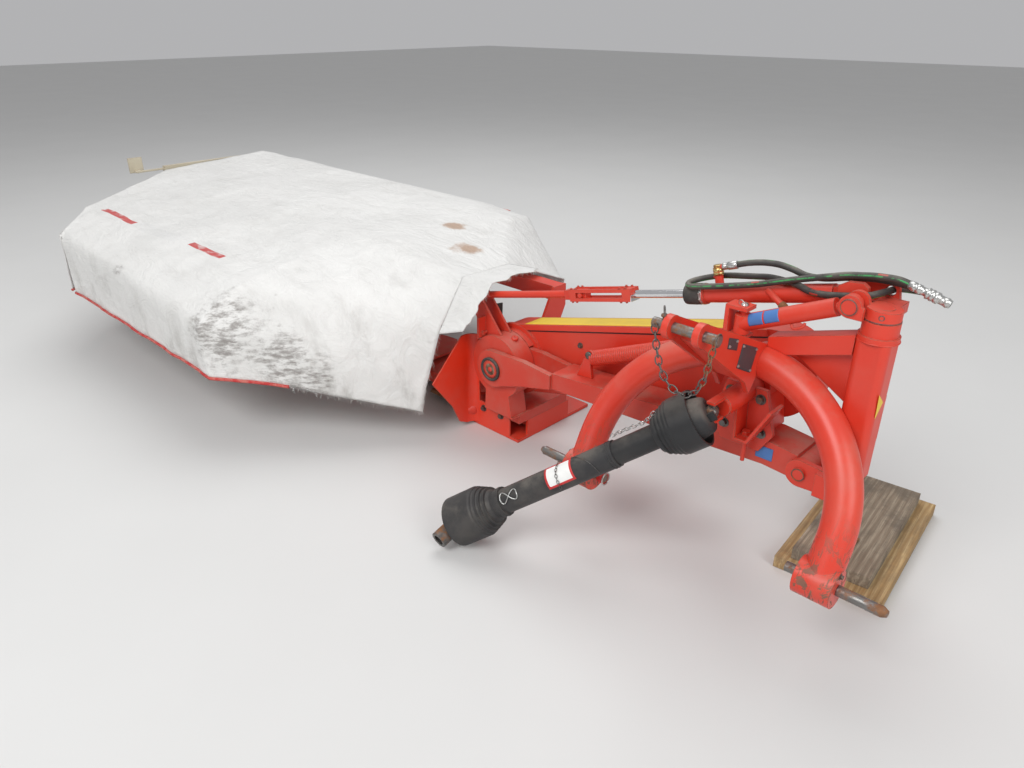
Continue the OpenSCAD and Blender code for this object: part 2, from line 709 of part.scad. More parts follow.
module canopy_end() place() color("whitesmoke") {
    edge = canopy_sections[len(canopy_sections) - 1];
    hem = [285, 300, 400, 400, 350];
    n = len(hem);
    x_in = [1, 0, 0];
    x_out = [1 + cloth_t, 0, 0];
    tops = [for (j = [0 : n - 1]) edge[j + 1]];
    lows = [for (j = [0 : n - 1]) [edge[j + 1][0], edge[j + 1][1], hem[j]]];
    points = concat([for (q = tops) q - x_in], [for (q = lows) q - x_in],
        [for (q = tops) q - x_out], [for (q = lows) q - x_out]);
    walls = [for (j = [0 : n - 2]) each [[j, j + 1, n + j], [j + 1, n + j + 1, n + j],
        [2 * n + j, 3 * n + j, 2 * n + j + 1], [2 * n + j + 1, 3 * n + j, 3 * n + j + 1],
        [j, 2 * n + j, j + 1], [j + 1, 2 * n + j, 2 * n + j + 1],
        [n + j, n + j + 1, 3 * n + j], [n + j + 1, 3 * n + j + 1, 3 * n + j]]];
    ends = [[0, n, 2 * n], [n, 3 * n, 2 * n], [n - 1, 3 * n - 1, 2 * n - 1],
        [2 * n - 1, 3 * n - 1, 4 * n - 1]];
    polyhedron(points = points, faces = concat(walls, ends));
}

// Loose inner lip of the cloth, which gives way to the arm when the bar folds
module canopy_flap() place() color("whitesmoke") {
    edge = canopy_sections[0];
    gap = [0.4, 0, 0];
    root = [for (j = [2, 3, 4]) edge[j] + gap];
    tip = [[-1040, 215, 470], [-1000, 330, 628], [-1010, 590, 622]];
    down = [for (j = [2, 3, 4]) cloth_t * canopy_inward[j]];
    points = concat(root, tip, root + down, tip + down);
    faces = [[0, 3, 1], [1, 3, 4], [1, 4, 2], [2, 4, 5], [6, 7, 9], [7, 10, 9], [7, 8, 10], [8, 11, 10],
        [0, 6, 3], [3, 6, 9], [2, 5, 8], [5, 11, 8], [3, 9, 4], [4, 9, 10], [4, 10, 5], [5, 10, 11],
        [0, 1, 6], [1, 7, 6], [1, 2, 7], [2, 8, 7]];
    polyhedron(points = points, faces = faces);
}

// Hoops under the cloth; columns: x, height of the front bend, height at the rear end
hoops = [[-1840, 562, 616], [-2480, 578, 620], [-3060, 593, 624]];

module canopy_frame() place() color(paint) {
    beam_y = 760;
    beam_z = 468;
    x_in = -tilt_x - 75;
    x_out = bar_x1 + 2;
    bend_y = -215;
    translate([x_out, beam_y - 30, beam_z - 30]) cube([x_in - x_out, 60, 60]);
    for (x = [x_in - 12, x_out]) yz_prism([[bed_y + 36, bed_z + bed_h + weld], [bed_y + 40, 200],
        [beam_y - 36, beam_z + 30], [beam_y + 36, beam_z + 30], [beam_y + 36, beam_z - 60],
        [bed_y + 100, bed_z + bed_h + weld]], x, 12);
    for (h = hoops) {
        rod([h[0], -404, 440], [h[0], bend_y, h[1]], hoop_d);
        translate([h[0], bend_y, h[1]]) sphere(d = hoop_d + 4);
        rod([h[0], bend_y, h[1]], [h[0], 1136, h[2]], hoop_d);
        rod([h[0], beam_y, beam_z + 20], [h[0], beam_y, h[2] - 8], hoop_d);
    }
    rod([-1790, -420, 440], [-3110, -420, 440], hoop_d);
    rod([-1740, 1136, 616], [-3780, 1136, 626], hoop_d);
}

module end_rail() place() color("beige") {
    q = canopy_sections[len(canopy_sections) - 1];
    d = q[4] - q[3];
    run = norm([d[0], d[1]]);
    translate([q[3][0] - cloth_t - 1.4, q[3][1], 636]) rotate([0, 0, atan2(d[1], d[0])]) {
        cube([run, 30, 34]);
        translate([-170, 0, 16]) cube([171, 24, 8]);
    }
    translate([reach_x, 215, 646]) cube([8, 80, 85]);
    translate([reach_x, 240, 652]) cube([q[3][0] - cloth_t - 1.4 - reach_x, 30, 8]);
}

// Drive shaft, drawn along its own axis from the input shaft
module pto_axis() {
    translate(pto_from) rotate([0, pto_el, pto_az]) children();
}

module pto_cross() place() color(steel) {
    translate(pto_from) sphere(d = 36);
    translate(pto_from - [0, 0, 23.5]) cylinder(h = 47, d = 18);
    pto_axis() translate([0, 23.5, 0]) rotate([90, 0, 0]) cylinder(h = 47, d = 18);
}

module pto_guard_rear() place() color(black) pto_axis() {
    difference() {
        union() {
            translate([0, 0, 36]) cylinder(h = 60, d = pto_cone_d);
            translate([0, 0, 96]) cylinder(h = 60, d1 = pto_cone_d, d2 = pto_tube_d + 24);
            for (i = [0 : 3]) translate([0, 0, 100 + i * 13]) cylinder(h = 6, d = pto_cone_d - 4 - i * 11);
            translate([0, 0, 156]) cylinder(h = 274, d = pto_tube_d - 8);
        }
        translate([0, 0, 30]) cylinder(h = 60, d = pto_cone_d - 12);
    }
    translate([0, 0, 44]) cylinder(h = 50, d = 56);
    for (side = [-1, 1]) translate([-12, side * 28 - 4, -12]) cube([24, 8, 62]);
}

module pto_guard_front() place() color(black) pto_axis() {
    difference() {
        union() {
            translate([0, 0, 290]) cylinder(h = pto_run - 290 - 110, d = pto_tube_d);
            translate([0, 0, pto_run - 190]) cylinder(h = 34, d = pto_tube_d + 12);
            translate([0, 0, pto_run - 160]) cylinder(h = 60, d1 = pto_tube_d + 10, d2 = pto_cone_d);
            for (i = [0 : 3]) translate([0, 0, pto_run - 109 - i * 13])
                cylinder(h = 6, d = pto_cone_d - 6 - i * 11);
            translate([0, 0, pto_run - 100]) cylinder(h = 100, d = pto_cone_d);
        }
        translate([0, 0, 289]) cylinder(h = 360, d = pto_tube_d - 8 + 2 * run_gap);
        translate([0, 0, pto_run - 90]) cylinder(h = 100, d = pto_cone_d - 12);
        translate([0, 0, 640]) cylinder(h = 300, d = 40 + 2 * run_gap);
    }
}

module pto_yoke() place() color(steel) {
    knee = pto_run - 5;
    pto_axis() {
        translate([0, 0, 660]) cylinder(h = pto_run - 80 - 660, d = 40);
        translate([0, 0, pto_run - 89]) cylinder(h = 26, d = 66);
        for (s = [-1, 1]) translate([-12, s * 27 - 4, pto_run - 70]) cube([24, 8, 77]);
        translate([0, 0, knee - 15]) cylinder(h = 30, d = 34);
        translate([0, 33, knee]) rotate([90, 0, 0]) cylinder(h = 66, d = 18);
    }
    translate(pto_from + (pto_to - pto_from) * knee / pto_run) rotate([yoke_dip, 0, 0]) {
        translate([0, 0, -30]) cylinder(h = 60, d = 16);
        rotate([90, 0, 0]) difference() {
            union() {
                translate([0, 0, 38]) cylinder(h = 55, d = 54);
                for (s = [-1, 1]) translate([-12, s * 22 - 4, -12]) cube([24, 8, 60]);
            }
            translate([0, 0, 45]) cylinder(h = 60, d = stub_bore_d);
        }
    }
}

// Hose: round points chosen by hand, from the ferrule on the barrel, over the head, round and back through
// its eye, left along the barrel, round the port and right again to the coupler
hose_d = 17;
hose_route = [[-112, 360, 880], [-80, 362, 891], [-40, 368, 899], [0, 372, 901], [40, 372, 896],
    [80, 366, 890],
    [130, 360, 896], [190, 359, 912], [250, 359, 922], [300, 360, 923], [335, 368, 917], [352, 388, 907],
    [346, 408, 900], [320, 417, 896], [299, 413, 895], [287, 402, 895], [283, 386, 895], [279, 368, 895],
    [275, 348, 896], [270, 330, 896], [260, 314, 894], [240, 309, 889], [190, 312, 877], [150, 316, 869],
    [110, 324, 866], [75, 337, 870], [40, 350, 869], [-20, 372, 862], [-60, 377, 854], [-100, 380, 846],
    [-160, 388, 832], [-205, 385, 818], [-238, 369, 806], [-248, 348, 800], [-235, 328, 798],
    [-200, 320, 806], [-150, 320, 819], [-100, 322, 832], [-60, 324, 843], [-20, 326, 855], [50, 328, 880],
    [90, 329, 893], [122, 330, 903], [160, 331, 915], [193, 331, 925], [230, 331, 932], [261, 331, 937],
    [310, 330, 940], [345, 330, 932]];

function dir(p, i) = let (a = p[max(i - 1, 0)], b = p[min(i + 1, len(p) - 1)]) (b - a) / norm(b - a);
function side_of(t) = let (s = cross(t, [0, 0, 1])) s / norm(s);

module tube(p, d, sides) {
    n = len(p);
    points = [for (i = [0 : n - 1]) let (t = dir(p, i), s = side_of(t), u = cross(s, t))
        for (k = [0 : sides - 1]) p[i] + d / 2 * (cos(360 * k / sides) * s + sin(360 * k / sides) * u)];
    walls = [for (i = [0 : n - 2], k = [0 : sides - 1]) let (a = i * sides + k,
        b = i * sides + (k + 1) % sides) each [[a, b, a + sides], [b, b + sides, a + sides]]];
    caps = [[for (k = [sides - 1 : -1 : 0]) k], [for (k = [0 : sides - 1]) (n - 1) * sides + k]];
    polyhedron(points = points, faces = concat(walls, caps));
}

module hydraulic_hose() place() color(black) tube(hose_route, hose_d, 8);

module hose_coupler() place() color("silver") {
    a = hose_route[len(hose_route) - 1];
    b = a + 1.75 * (a - hose_route[len(hose_route) - 2]);
    rod(a, a + (b - a) * 0.5, 22);
    rod(a + (b - a) * 0.5, b, 27);
    rod(b, b + (b - a) * 0.4, 20);
}

arch_tube();
mast_bracket();
mast_pin();
hitch_pins();
turret_post();
cross_tube();
lower_boards();
upper_board();
stand_sleeve();
stand_leg();
turret_head();
swing_bracket();
safety_strut();
arm_beam();
belt_guard();
input_housing();
belt_spring();
lift_barrel();
lift_rod();
tie_rod();
cutter_bed();
skids();
disc_1();
disc_2();
disc_3();
disc_4();
disc_5();
disc_6();
inner_shoe();
outer_shoe();
gearbox();
lift_lever();
canopy_frame();
canopy();
canopy_end();
canopy_flap();
end_rail();
pto_cross();
pto_guard_rear();
pto_guard_front();
pto_yoke();
hydraulic_hose();
hose_coupler();
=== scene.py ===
import bpy
import bmesh
import math
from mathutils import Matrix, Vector, noise


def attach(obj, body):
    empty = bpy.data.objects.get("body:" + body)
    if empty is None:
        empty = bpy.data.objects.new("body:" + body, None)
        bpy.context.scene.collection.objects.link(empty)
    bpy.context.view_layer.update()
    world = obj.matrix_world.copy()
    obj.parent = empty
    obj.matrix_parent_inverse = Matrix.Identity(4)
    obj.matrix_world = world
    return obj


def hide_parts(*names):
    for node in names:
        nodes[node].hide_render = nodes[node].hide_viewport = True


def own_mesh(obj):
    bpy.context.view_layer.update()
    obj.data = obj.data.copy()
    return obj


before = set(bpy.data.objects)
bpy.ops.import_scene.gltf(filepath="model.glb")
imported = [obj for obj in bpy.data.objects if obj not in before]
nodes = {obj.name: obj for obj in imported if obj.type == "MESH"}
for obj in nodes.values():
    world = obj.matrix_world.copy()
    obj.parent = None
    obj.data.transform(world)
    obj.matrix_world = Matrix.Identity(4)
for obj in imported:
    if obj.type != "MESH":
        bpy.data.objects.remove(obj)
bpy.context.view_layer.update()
print("stage: frame loaded,", len(nodes), "solids")

hitchMiddle = Vector((1.69725, -0.362, 0.0))  # middle of the hitch, on the ground
millimetre = 0.001
fullTurn = 2 * math.pi


def at(x, y, z):  # millimetres from the hitch's middle to metres in the frame
    return Vector((x, y, z)) * millimetre + hitchMiddle


def fromHitch(point):  # the other way round
    return (point - hitchMiddle) * 1000


def around(count):  # angles of a full turn in equal steps
    return [fullTurn * k / count for k in range(count)]


# Camera and light
cameraView = {"place": (2.55025, -1.878, 1.5), "turn": (64.1, 0.0, 44.1), "lens": 27.04,
              "sensor": 36, "farthest": 60}
studio = {  # each lamp: name, place, target, size, power
    "lamps": [("keyLamp", (1.5, -5.5, 5.5), (0.2, 0, 0.4), 4.0, 290),
              ("fillLamp", (6.5, -1.5, 3.5), (0.8, 0, 0.4), 3.5, 120),
              ("topLamp", (-1.5, 2.0, 6.0), (-0.3, 0, 0.3), 5.0, 170)],
    "worldGrey": (0.62, 0.62, 0.6324), "worldStrength": 0.72}


def linked(name, data):  # a new object in the scene
    item = bpy.data.objects.new(name, data)
    bpy.context.scene.collection.objects.link(item)
    return item


def makeCamera():
    data = bpy.data.cameras.new("photoCamera")
    data.lens = cameraView["lens"]
    data.sensor_width = cameraView["sensor"]
    data.clip_end = cameraView["farthest"]
    camera = linked("photoCamera", data)
    camera.location = cameraView["place"]
    camera.rotation_euler = [math.radians(a) for a in cameraView["turn"]]
    bpy.context.scene.camera = camera


def makeLamp(name, place, target, size, power):
    data = bpy.data.lights.new(name, "AREA")
    data.shape = "DISK"
    data.size = size
    data.energy = power
    lamp = linked(name, data)
    lamp.location = place
    lamp.rotation_euler = (Vector(target) - Vector(place)).to_track_quat("-Z", "Y").to_euler()


def makeWorld():
    world = bpy.data.worlds.new("paleRoom")
    world.use_nodes = True
    background = world.node_tree.nodes["Background"]
    background.inputs["Color"].default_value = (*studio["worldGrey"], 1)
    background.inputs["Strength"].default_value = studio["worldStrength"]
    bpy.context.scene.world = world
    bpy.context.scene.view_settings.view_transform = "Standard"


makeCamera()
for lampValues in studio["lamps"]:
    makeLamp(*lampValues)
makeWorld()
print("stage: camera and lamps")


# Node helpers
def feed(tree, socket, value):  # a link for a socket, or else a plain value
    if isinstance(value, bpy.types.NodeSocket):
        tree.links.new(value, socket)
    elif isinstance(value, (tuple, list)) and len(value) == 3 and socket.type == "RGBA":
        socket.default_value = (*value, 1)
    else:
        socket.default_value = value


def addNode(tree, kind, inputs=None, **settings):
    node = tree.nodes.new(kind)
    for key, value in settings.items():
        setattr(node, key, value)
    for key, value in (inputs or {}).items():
        feed(tree, node.inputs[key], value)
    return node


def mathNode(tree, operation, *values):
    return addNode(tree, "ShaderNodeMath", dict(enumerate(values)), operation=operation).outputs[0]


def plus(tree, a, b):
    return mathNode(tree, "ADD", a, b)


def less(tree, a, b):
    return mathNode(tree, "SUBTRACT", a, b)


def product(tree, *values):
    total = values[0]
    for value in values[1:]:
        total = mathNode(tree, "MULTIPLY", total, value)
    return total


def largest(tree, *values):
    total = values[0]
    for value in values[1:]:
        total = mathNode(tree, "MAXIMUM", total, value)
    return total


def mixColour(tree, factor, a, b):
    return addNode(tree, "ShaderNodeMix", {0: factor, 6: a, 7: b}, data_type="RGBA").outputs[2]


def noiseAt(tree, vector, scale, detail=4.0, roughness=0.55, distortion=0.0):
    return addNode(tree, "ShaderNodeTexNoise", {
        "Vector": vector, "Scale": scale, "Detail": detail, "Roughness": roughness,
        "Distortion": distortion}).outputs[0]


def ramp(tree, value, low, high):  # 0 at low, 1 at high
    return addNode(tree, "ShaderNodeMapRange", {"Value": value, "From Min": low, "From Max": high},
                   interpolation_type="SMOOTHSTEP").outputs["Result"]


def cloud(tree, vector, low, high, *noiseValues):  # noise with its contrast raised
    return ramp(tree, noiseAt(tree, vector, *noiseValues), low, high)


def stretched(tree, vector, scale):
    return addNode(tree, "ShaderNodeMapping", {"Vector": vector, "Scale": scale}).outputs[0]


def parted(tree, vector):  # the X, Y and Z of a vector
    return addNode(tree, "ShaderNodeSeparateXYZ", {0: vector}).outputs


def bands(tree, vector, direction, **values):
    inputs = {"Vector": vector, **{key.capitalize(): value for key, value in values.items()}}
    return addNode(tree, "ShaderNodeTexWave", inputs, wave_type="BANDS",
                   bands_direction=direction).outputs["Fac"]


def makeGroup(name, outputs, **sizes):  # every group reads a place and its own named sizes
    group = bpy.data.node_groups.new(name, "ShaderNodeTree")
    group.interface.new_socket("Vector", in_out="INPUT", socket_type="NodeSocketVector")
    for label, value in sizes.items():
        group.interface.new_socket(label, in_out="INPUT",
                                   socket_type="NodeSocketFloat").default_value = value
    for label, kind in outputs.items():
        group.interface.new_socket(label, in_out="OUTPUT", socket_type=kind)
    return group, addNode(group, "NodeGroupInput").outputs, addNode(group, "NodeGroupOutput").inputs


def useGroup(tree, group, **values):
    return addNode(tree, "ShaderNodeGroup", values, node_tree=group).outputs


def makeEdgeWear():  # mask along sharp edges, and a normal that rounds them
    group, source, result = makeGroup("edgeWear",
                                      {"Mask": "NodeSocketFloat", "Normal": "NodeSocketVector"},
                                      Radius=0.004, Amount=0.5)
    bevel = addNode(group, "ShaderNodeBevel", {"Radius": source["Radius"]}, samples=4).outputs[0]
    flat = addNode(group, "ShaderNodeNewGeometry").outputs["Normal"]
    alike = addNode(group, "ShaderNodeVectorMath", {0: bevel, 1: flat},
                    operation="DOT_PRODUCT").outputs["Value"]
    edge = ramp(group, less(group, 1.0, alike), 0.02, 0.2)
    broken = noiseAt(group, source["Vector"], 34.0, 6.0, 0.7)
    limit = less(group, 0.95, product(group, source["Amount"], 0.6))
    chipped = ramp(group, less(group, plus(group, broken, edge), limit), 0.3, 0.5)
    feed(group, result["Mask"], product(group, chipped, edge))
    feed(group, result["Normal"], bevel)
    return group


def makeDust():  # pale dirt that settles on upper faces and in patches
    group, source, result = makeGroup("settledDust", {"Mask": "NodeSocketFloat"}, Amount=0.5)
    facing = parted(group, addNode(group, "ShaderNodeNewGeometry").outputs["Normal"])
    upward = ramp(group, facing["Z"], 0.25, 0.95)
    patch = cloud(group, source["Vector"], 0.4, 0.66, 9.0, 8.0, 0.68)
    haze = cloud(group, source["Vector"], 0.35, 0.7, 2.3, 3.0)
    total = plus(group, product(group, upward, 0.65), product(group, haze, 0.35))
    total = product(group, total, plus(group, patch, 0.25), source["Amount"])
    feed(group, result["Mask"], mathNode(group, "MINIMUM", total, 1.0))
    return group


def makeBareSpots():  # scattered scratches and bare spots
    group, source, result = makeGroup("bareSpots", {"Mask": "NodeSocketFloat"}, Amount=0.5)
    spots = noiseAt(group, source["Vector"], 21.0, 10.0, 0.74, 0.6)
    lines = noiseAt(group, stretched(group, source["Vector"], (60, 9, 14)), 1.6, 5.0, 0.6, 1.4)
    both = largest(group, spots, less(group, lines, 0.03))
    limit = less(group, 0.83, product(group, source["Amount"], 0.26))
    feed(group, result["Mask"], ramp(group, less(group, both, limit), 0.0, 0.05))
    return group


edgeWear = makeEdgeWear()
settledDust = makeDust()
bareSpots = makeBareSpots()


def newMaterial(name):
    material = bpy.data.materials.new(name)
    material.use_nodes = True
    tree = material.node_tree
    place = addNode(tree, "ShaderNodeTexCoord").outputs["Object"]
    return material, tree, tree.nodes["Principled BSDF"].inputs, place


def setBump(tree, finish, height, strength, distance, normal=None):
    bump = addNode(tree, "ShaderNodeBump", {"Strength": strength, "Distance": distance, "Height": height})
    if normal is not None:
        feed(tree, bump.inputs["Normal"], normal)
    feed(tree, finish["Normal"], bump.outputs[0])


paintDirt = (0.36, 0.30, 0.235)


def paintedSteel(name, colour, faded, rust=0.4, dust=0.4, edges=0.5, gloss=0.42):
    material, tree, finish, place = newMaterial(name)
    wear = useGroup(tree, edgeWear, Vector=place, Radius=0.003, Amount=edges)
    spots = useGroup(tree, bareSpots, Vector=place, Amount=rust)["Mask"]
    dirt = useGroup(tree, settledDust, Vector=place, Amount=dust)["Mask"]
    cloudy = cloud(tree, place, 0.35, 0.75, 5.0, 6.0, 0.6)
    bare = mixColour(tree, cloud(tree, place, 0.35, 0.65, 60.0, 4.0), (0.16, 0.065, 0.028),
                     (0.30, 0.20, 0.14))
    gone = largest(tree, wear["Mask"], spots)
    painted = mixColour(tree, gone, mixColour(tree, cloudy, colour, faded), bare)
    feed(tree, finish["Base Color"], mixColour(tree, dirt, painted, paintDirt))
    rough = plus(tree, gloss, product(tree, cloudy, 0.14))
    rough = plus(tree, rough, product(tree, largest(tree, gone, dirt), 0.32))
    feed(tree, finish["Roughness"], rough)
    grain = less(tree, product(tree, noiseAt(tree, place, 170.0, 3.0), 0.25), gone)
    setBump(tree, finish, grain, 0.35, 0.0012, wear["Normal"])
    return material


def bareSteel(name, light, dark, rustShare, metal=0.85, gloss=0.38):
    material, tree, finish, place = newMaterial(name)
    wear = useGroup(tree, edgeWear, Vector=place, Radius=0.002, Amount=0.9)
    patches = cloud(tree, place, 0.62 - 0.4 * rustShare, 0.72 - 0.3 * rustShare, 16.0, 9.0, 0.7)
    rusty = mixColour(tree, noiseAt(tree, place, 70.0, 4.0), (0.10, 0.042, 0.02), (0.36, 0.17, 0.075))
    plain = mixColour(tree, noiseAt(tree, stretched(tree, place, (8, 40, 40)), 3.0, 4.0), dark, light)
    share = product(tree, patches, less(tree, 1.0, wear["Mask"]))
    feed(tree, finish["Base Color"], mixColour(tree, share, plain, rusty))
    feed(tree, finish["Metallic"], product(tree, less(tree, 1.0, share), metal))
    feed(tree, finish["Roughness"], plus(tree, gloss, product(tree, share, 0.45)))
    setBump(tree, finish, plus(tree, patches, noiseAt(tree, place, 220.0, 3.0)), 0.3, 0.0009,
            wear["Normal"])
    return material


def dullPlastic(name, colour, scrape, scrapeShare, dust, gloss=0.5):
    material, tree, finish, place = newMaterial(name)
    wear = useGroup(tree, edgeWear, Vector=place, Radius=0.003, Amount=0.3)
    dirt = useGroup(tree, settledDust, Vector=place, Amount=dust)["Mask"]
    marks = useGroup(tree, bareSpots, Vector=stretched(tree, place, (1.6, 1.6, 1.6)),
                     Amount=scrapeShare)["Mask"]
    base = mixColour(tree, noiseAt(tree, place, 12.0, 5.0), colour, tuple(c * 1.7 + 0.01 for c in colour))
    base = mixColour(tree, marks, base, scrape)
    feed(tree, finish["Base Color"], mixColour(tree, dirt, base, (0.34, 0.30, 0.25)))
    rough = product(tree, largest(tree, dirt, marks), 0.35)
    feed(tree, finish["Roughness"], plus(tree, gloss, rough))
    finish["Specular IOR Level"].default_value = 0.3
    setBump(tree, finish, noiseAt(tree, place, 140.0, 4.0), 0.22, 0.0008, wear["Normal"])
    return material


def sawnWood(name, pale, dark, weathered, along):
    material, tree, finish, place = newMaterial(name)
    turn = addNode(tree, "ShaderNodeVectorRotate", {"Vector": place, "Angle": -along},
                   rotation_type="Z_AXIS").outputs[0]
    rings = bands(tree, stretched(tree, turn, (1.0, 0.09, 1.0)), "X", scale=17.0, distortion=7.0,
                  detail=3.0)
    fibre = noiseAt(tree, stretched(tree, turn, (230, 8, 90)), 1.0, 6.0, 0.65)
    grain = mixColour(tree, rings, pale, dark)
    grain = mixColour(tree, ramp(tree, fibre, 0.3, 0.75), grain, tuple(c * 0.7 for c in dark))
    stain = product(tree, cloud(tree, place, 0.42, 0.68, 7.0, 8.0, 0.7), weathered)
    feed(tree, finish["Base Color"], mixColour(tree, stain, grain, (0.13, 0.105, 0.08)))
    finish["Roughness"].default_value = 0.82
    wear = useGroup(tree, edgeWear, Vector=place, Radius=0.004, Amount=0.6)
    setBump(tree, finish, plus(tree, product(tree, rings, 0.5), fibre), 0.55, 0.0014, wear["Normal"])
    return material


def plainFilm(name, colour, border=None, worn=0.35):  # blank stickers and plates
    material, tree, finish, place = newMaterial(name)
    marks = useGroup(tree, bareSpots, Vector=stretched(tree, place, (1.8, 1.8, 1.8)), Amount=worn)["Mask"]
    cloudy = noiseAt(tree, place, 30.0, 5.0)
    base = mixColour(tree, cloudy, colour, tuple(min(1, c * 1.25 + 0.02) for c in colour))
    if border:
        frameMask = addNode(tree, "ShaderNodeAttribute", attribute_name="borderMask").outputs["Fac"]
        base = mixColour(tree, ramp(tree, frameMask, 0.45, 0.55), base, border)
    feed(tree, finish["Base Color"], mixColour(tree, marks, base, (0.42, 0.36, 0.30)))
    feed(tree, finish["Roughness"], plus(tree, 0.35, product(tree, cloudy, 0.3)))
    setBump(tree, finish, noiseAt(tree, place, 90.0, 3.0), 0.12, 0.0005)
    return material


def rodAndClevis(clevisEnd=-439):  # chrome where the rod runs, red paint from the clevis outwards
    material, tree, finish, place = newMaterial("rodAndClevis")
    paint = mathNode(tree, "LESS_THAN", parted(tree, place)["X"], at(clevisEnd, 0, 0).x)
    wear = useGroup(tree, edgeWear, Vector=place, Radius=0.002, Amount=0.6)
    chips = largest(tree, wear["Mask"], useGroup(tree, bareSpots, Vector=place, Amount=0.3)["Mask"])
    red = mixColour(tree, noiseAt(tree, place, 7.0, 5.0), (0.64, 0.034, 0.016), (0.66, 0.075, 0.04))
    red = mixColour(tree, chips, red, (0.20, 0.12, 0.08))
    streaked = noiseAt(tree, stretched(tree, place, (6, 50, 50)), 3.0, 4.0)
    chrome = mixColour(tree, streaked, (0.70, 0.70, 0.72), (0.84, 0.84, 0.85))
    feed(tree, finish["Base Color"], mixColour(tree, paint, chrome, red))
    feed(tree, finish["Metallic"], less(tree, 1.0, paint))
    feed(tree, finish["Roughness"], mathNode(tree, "MULTIPLY_ADD", paint, 0.30, 0.12))
    setBump(tree, finish, noiseAt(tree, place, 180.0, 3.0), 0.2, 0.0006, wear["Normal"])
    return material


def archPaint():  # sound paint above, worn and rusty towards the leg ends
    material, tree, finish, place = newMaterial("archPaint")
    low = ramp(tree, parted(tree, place)["Z"], 0.47, 0.24)
    wear = useGroup(tree, edgeWear, Vector=place, Radius=0.003, Amount=0.5)
    few = useGroup(tree, bareSpots, Vector=place, Amount=0.26)["Mask"]
    many = useGroup(tree, bareSpots, Vector=stretched(tree, place, (1.3, 1.3, 0.9)), Amount=1.15)["Mask"]
    dirt = useGroup(tree, settledDust, Vector=place, Amount=0.3)["Mask"]
    gone = largest(tree, wear["Mask"], few, product(tree, many, low))
    base = mixColour(tree, cloud(tree, place, 0.35, 0.75, 4.0, 5.0), (0.66, 0.036, 0.016),
                     (0.70, 0.066, 0.034))
    rust = mixColour(tree, noiseAt(tree, place, 55.0, 4.0), (0.10, 0.05, 0.035), (0.26, 0.13, 0.08))
    feed(tree, finish["Base Color"], mixColour(tree, dirt, mixColour(tree, gone, base, rust), paintDirt))
    feed(tree, finish["Roughness"], mathNode(tree, "MULTIPLY_ADD", largest(tree, gone, dirt), 0.4, 0.34))
    height = less(tree, product(tree, noiseAt(tree, place, 160.0, 3.0), 0.25), gone)
    setBump(tree, finish, height, 0.35, 0.0012, wear["Normal"])
    return material


# Paint: colour, faded colour, rust, dust, edge wear, gloss
redPaint = paintedSteel("redPaint", (0.66, 0.036, 0.016), (0.68, 0.050, 0.024), 0.24, 0.18, 0.42, 0.36)
redWorn = paintedSteel("redWorn", (0.62, 0.036, 0.016), (0.62, 0.060, 0.034), 0.50, 0.36, 0.85, 0.4)
# a lighter, more orange copy of the red paint, with more edge wear: its lighter colour is a painted
# highlight for the inner shoe
redPaintLit = paintedSteel("redPaintLit", (0.76, 0.038, 0.012), (0.74, 0.060, 0.030), 0.3, 0.2, 0.7, 0.32)
redArm = paintedSteel("redArm", (0.62, 0.032, 0.014), (0.60, 0.055, 0.030), 0.36, 0.46, 0.7, 0.4)
beigePaint = paintedSteel("beigePaint", (0.56, 0.50, 0.37), (0.62, 0.57, 0.45), 0.4, 0.4, 0.6)
archRed = archPaint()
# Bare metal: light colour, dark colour, share of rust, metallic share, gloss
darkSteel = bareSteel("darkSteel", (0.22, 0.21, 0.20), (0.08, 0.077, 0.073), 0.36)
pinSteel = bareSteel("pinSteel", (0.30, 0.29, 0.275), (0.13, 0.125, 0.12), 0.34)
rustSteel = bareSteel("rustSteel", (0.30, 0.22, 0.17), (0.12, 0.08, 0.06), 0.95, 0.4, 0.5)
zincSteel = bareSteel("zincSteel", (0.66, 0.66, 0.64), (0.42, 0.42, 0.41), 0.08, 0.9, 0.3)
brassFitting = bareSteel("brassFitting", (0.70, 0.52, 0.22), (0.48, 0.34, 0.13), 0.05, 0.95, 0.28)
clevisPaint = rodAndClevis()
# Plastic and rubber: colour, scrape colour, share of scrapes, dust, gloss
guardPlastic = dullPlastic("guardPlastic", (0.017, 0.017, 0.019), (0.50, 0.34, 0.05), 0.36, 0.30)
conePlastic = dullPlastic("conePlastic", (0.014, 0.014, 0.015), (0.16, 0.15, 0.14), 0.3, 0.22, 0.40)
blackRubber = dullPlastic("blackRubber", (0.022, 0.022, 0.023), (0.10, 0.10, 0.10), 0.2, 0.45, 0.62)
redCap = dullPlastic("redCap", (0.50, 0.02, 0.02), (0.6, 0.3, 0.28), 0.3, 0.3)
boardTurn = math.radians(5)  # the boards lie at this angle
pineBoards = sawnWood("pineBoards", (0.60, 0.43, 0.22), (0.42, 0.26, 0.11), 0.35, boardTurn)
greyBoard = sawnWood("greyBoard", (0.42, 0.35, 0.26), (0.26, 0.20, 0.14), 0.85, boardTurn)
blueFilm = plainFilm("blueFilm", (0.05, 0.16, 0.42))
yellowFilm = plainFilm("yellowFilm", (0.72, 0.50, 0.03))
whiteFilm = plainFilm("whiteFilm", (0.72, 0.72, 0.70), (0.55, 0.03, 0.03))
darkPlate = plainFilm("darkPlate", (0.035, 0.035, 0.04))
print("stage: metal, plastic and wood")


# Piece helpers
def finishPiece(piece, material, body):  # one finish, and the body it rides on
    piece.data.materials.clear()
    piece.data.materials.append(material)
    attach(piece, body)
    return piece


def bareMesh(name, points, edges=(), faces=()):
    mesh = bpy.data.meshes.new(name)
    mesh.from_pydata([tuple(p) for p in points], edges, faces)
    return linked(name, mesh)


def smoothShade(mesh, smooth=True):
    for polygon in mesh.polygons:
        polygon.use_smooth = smooth


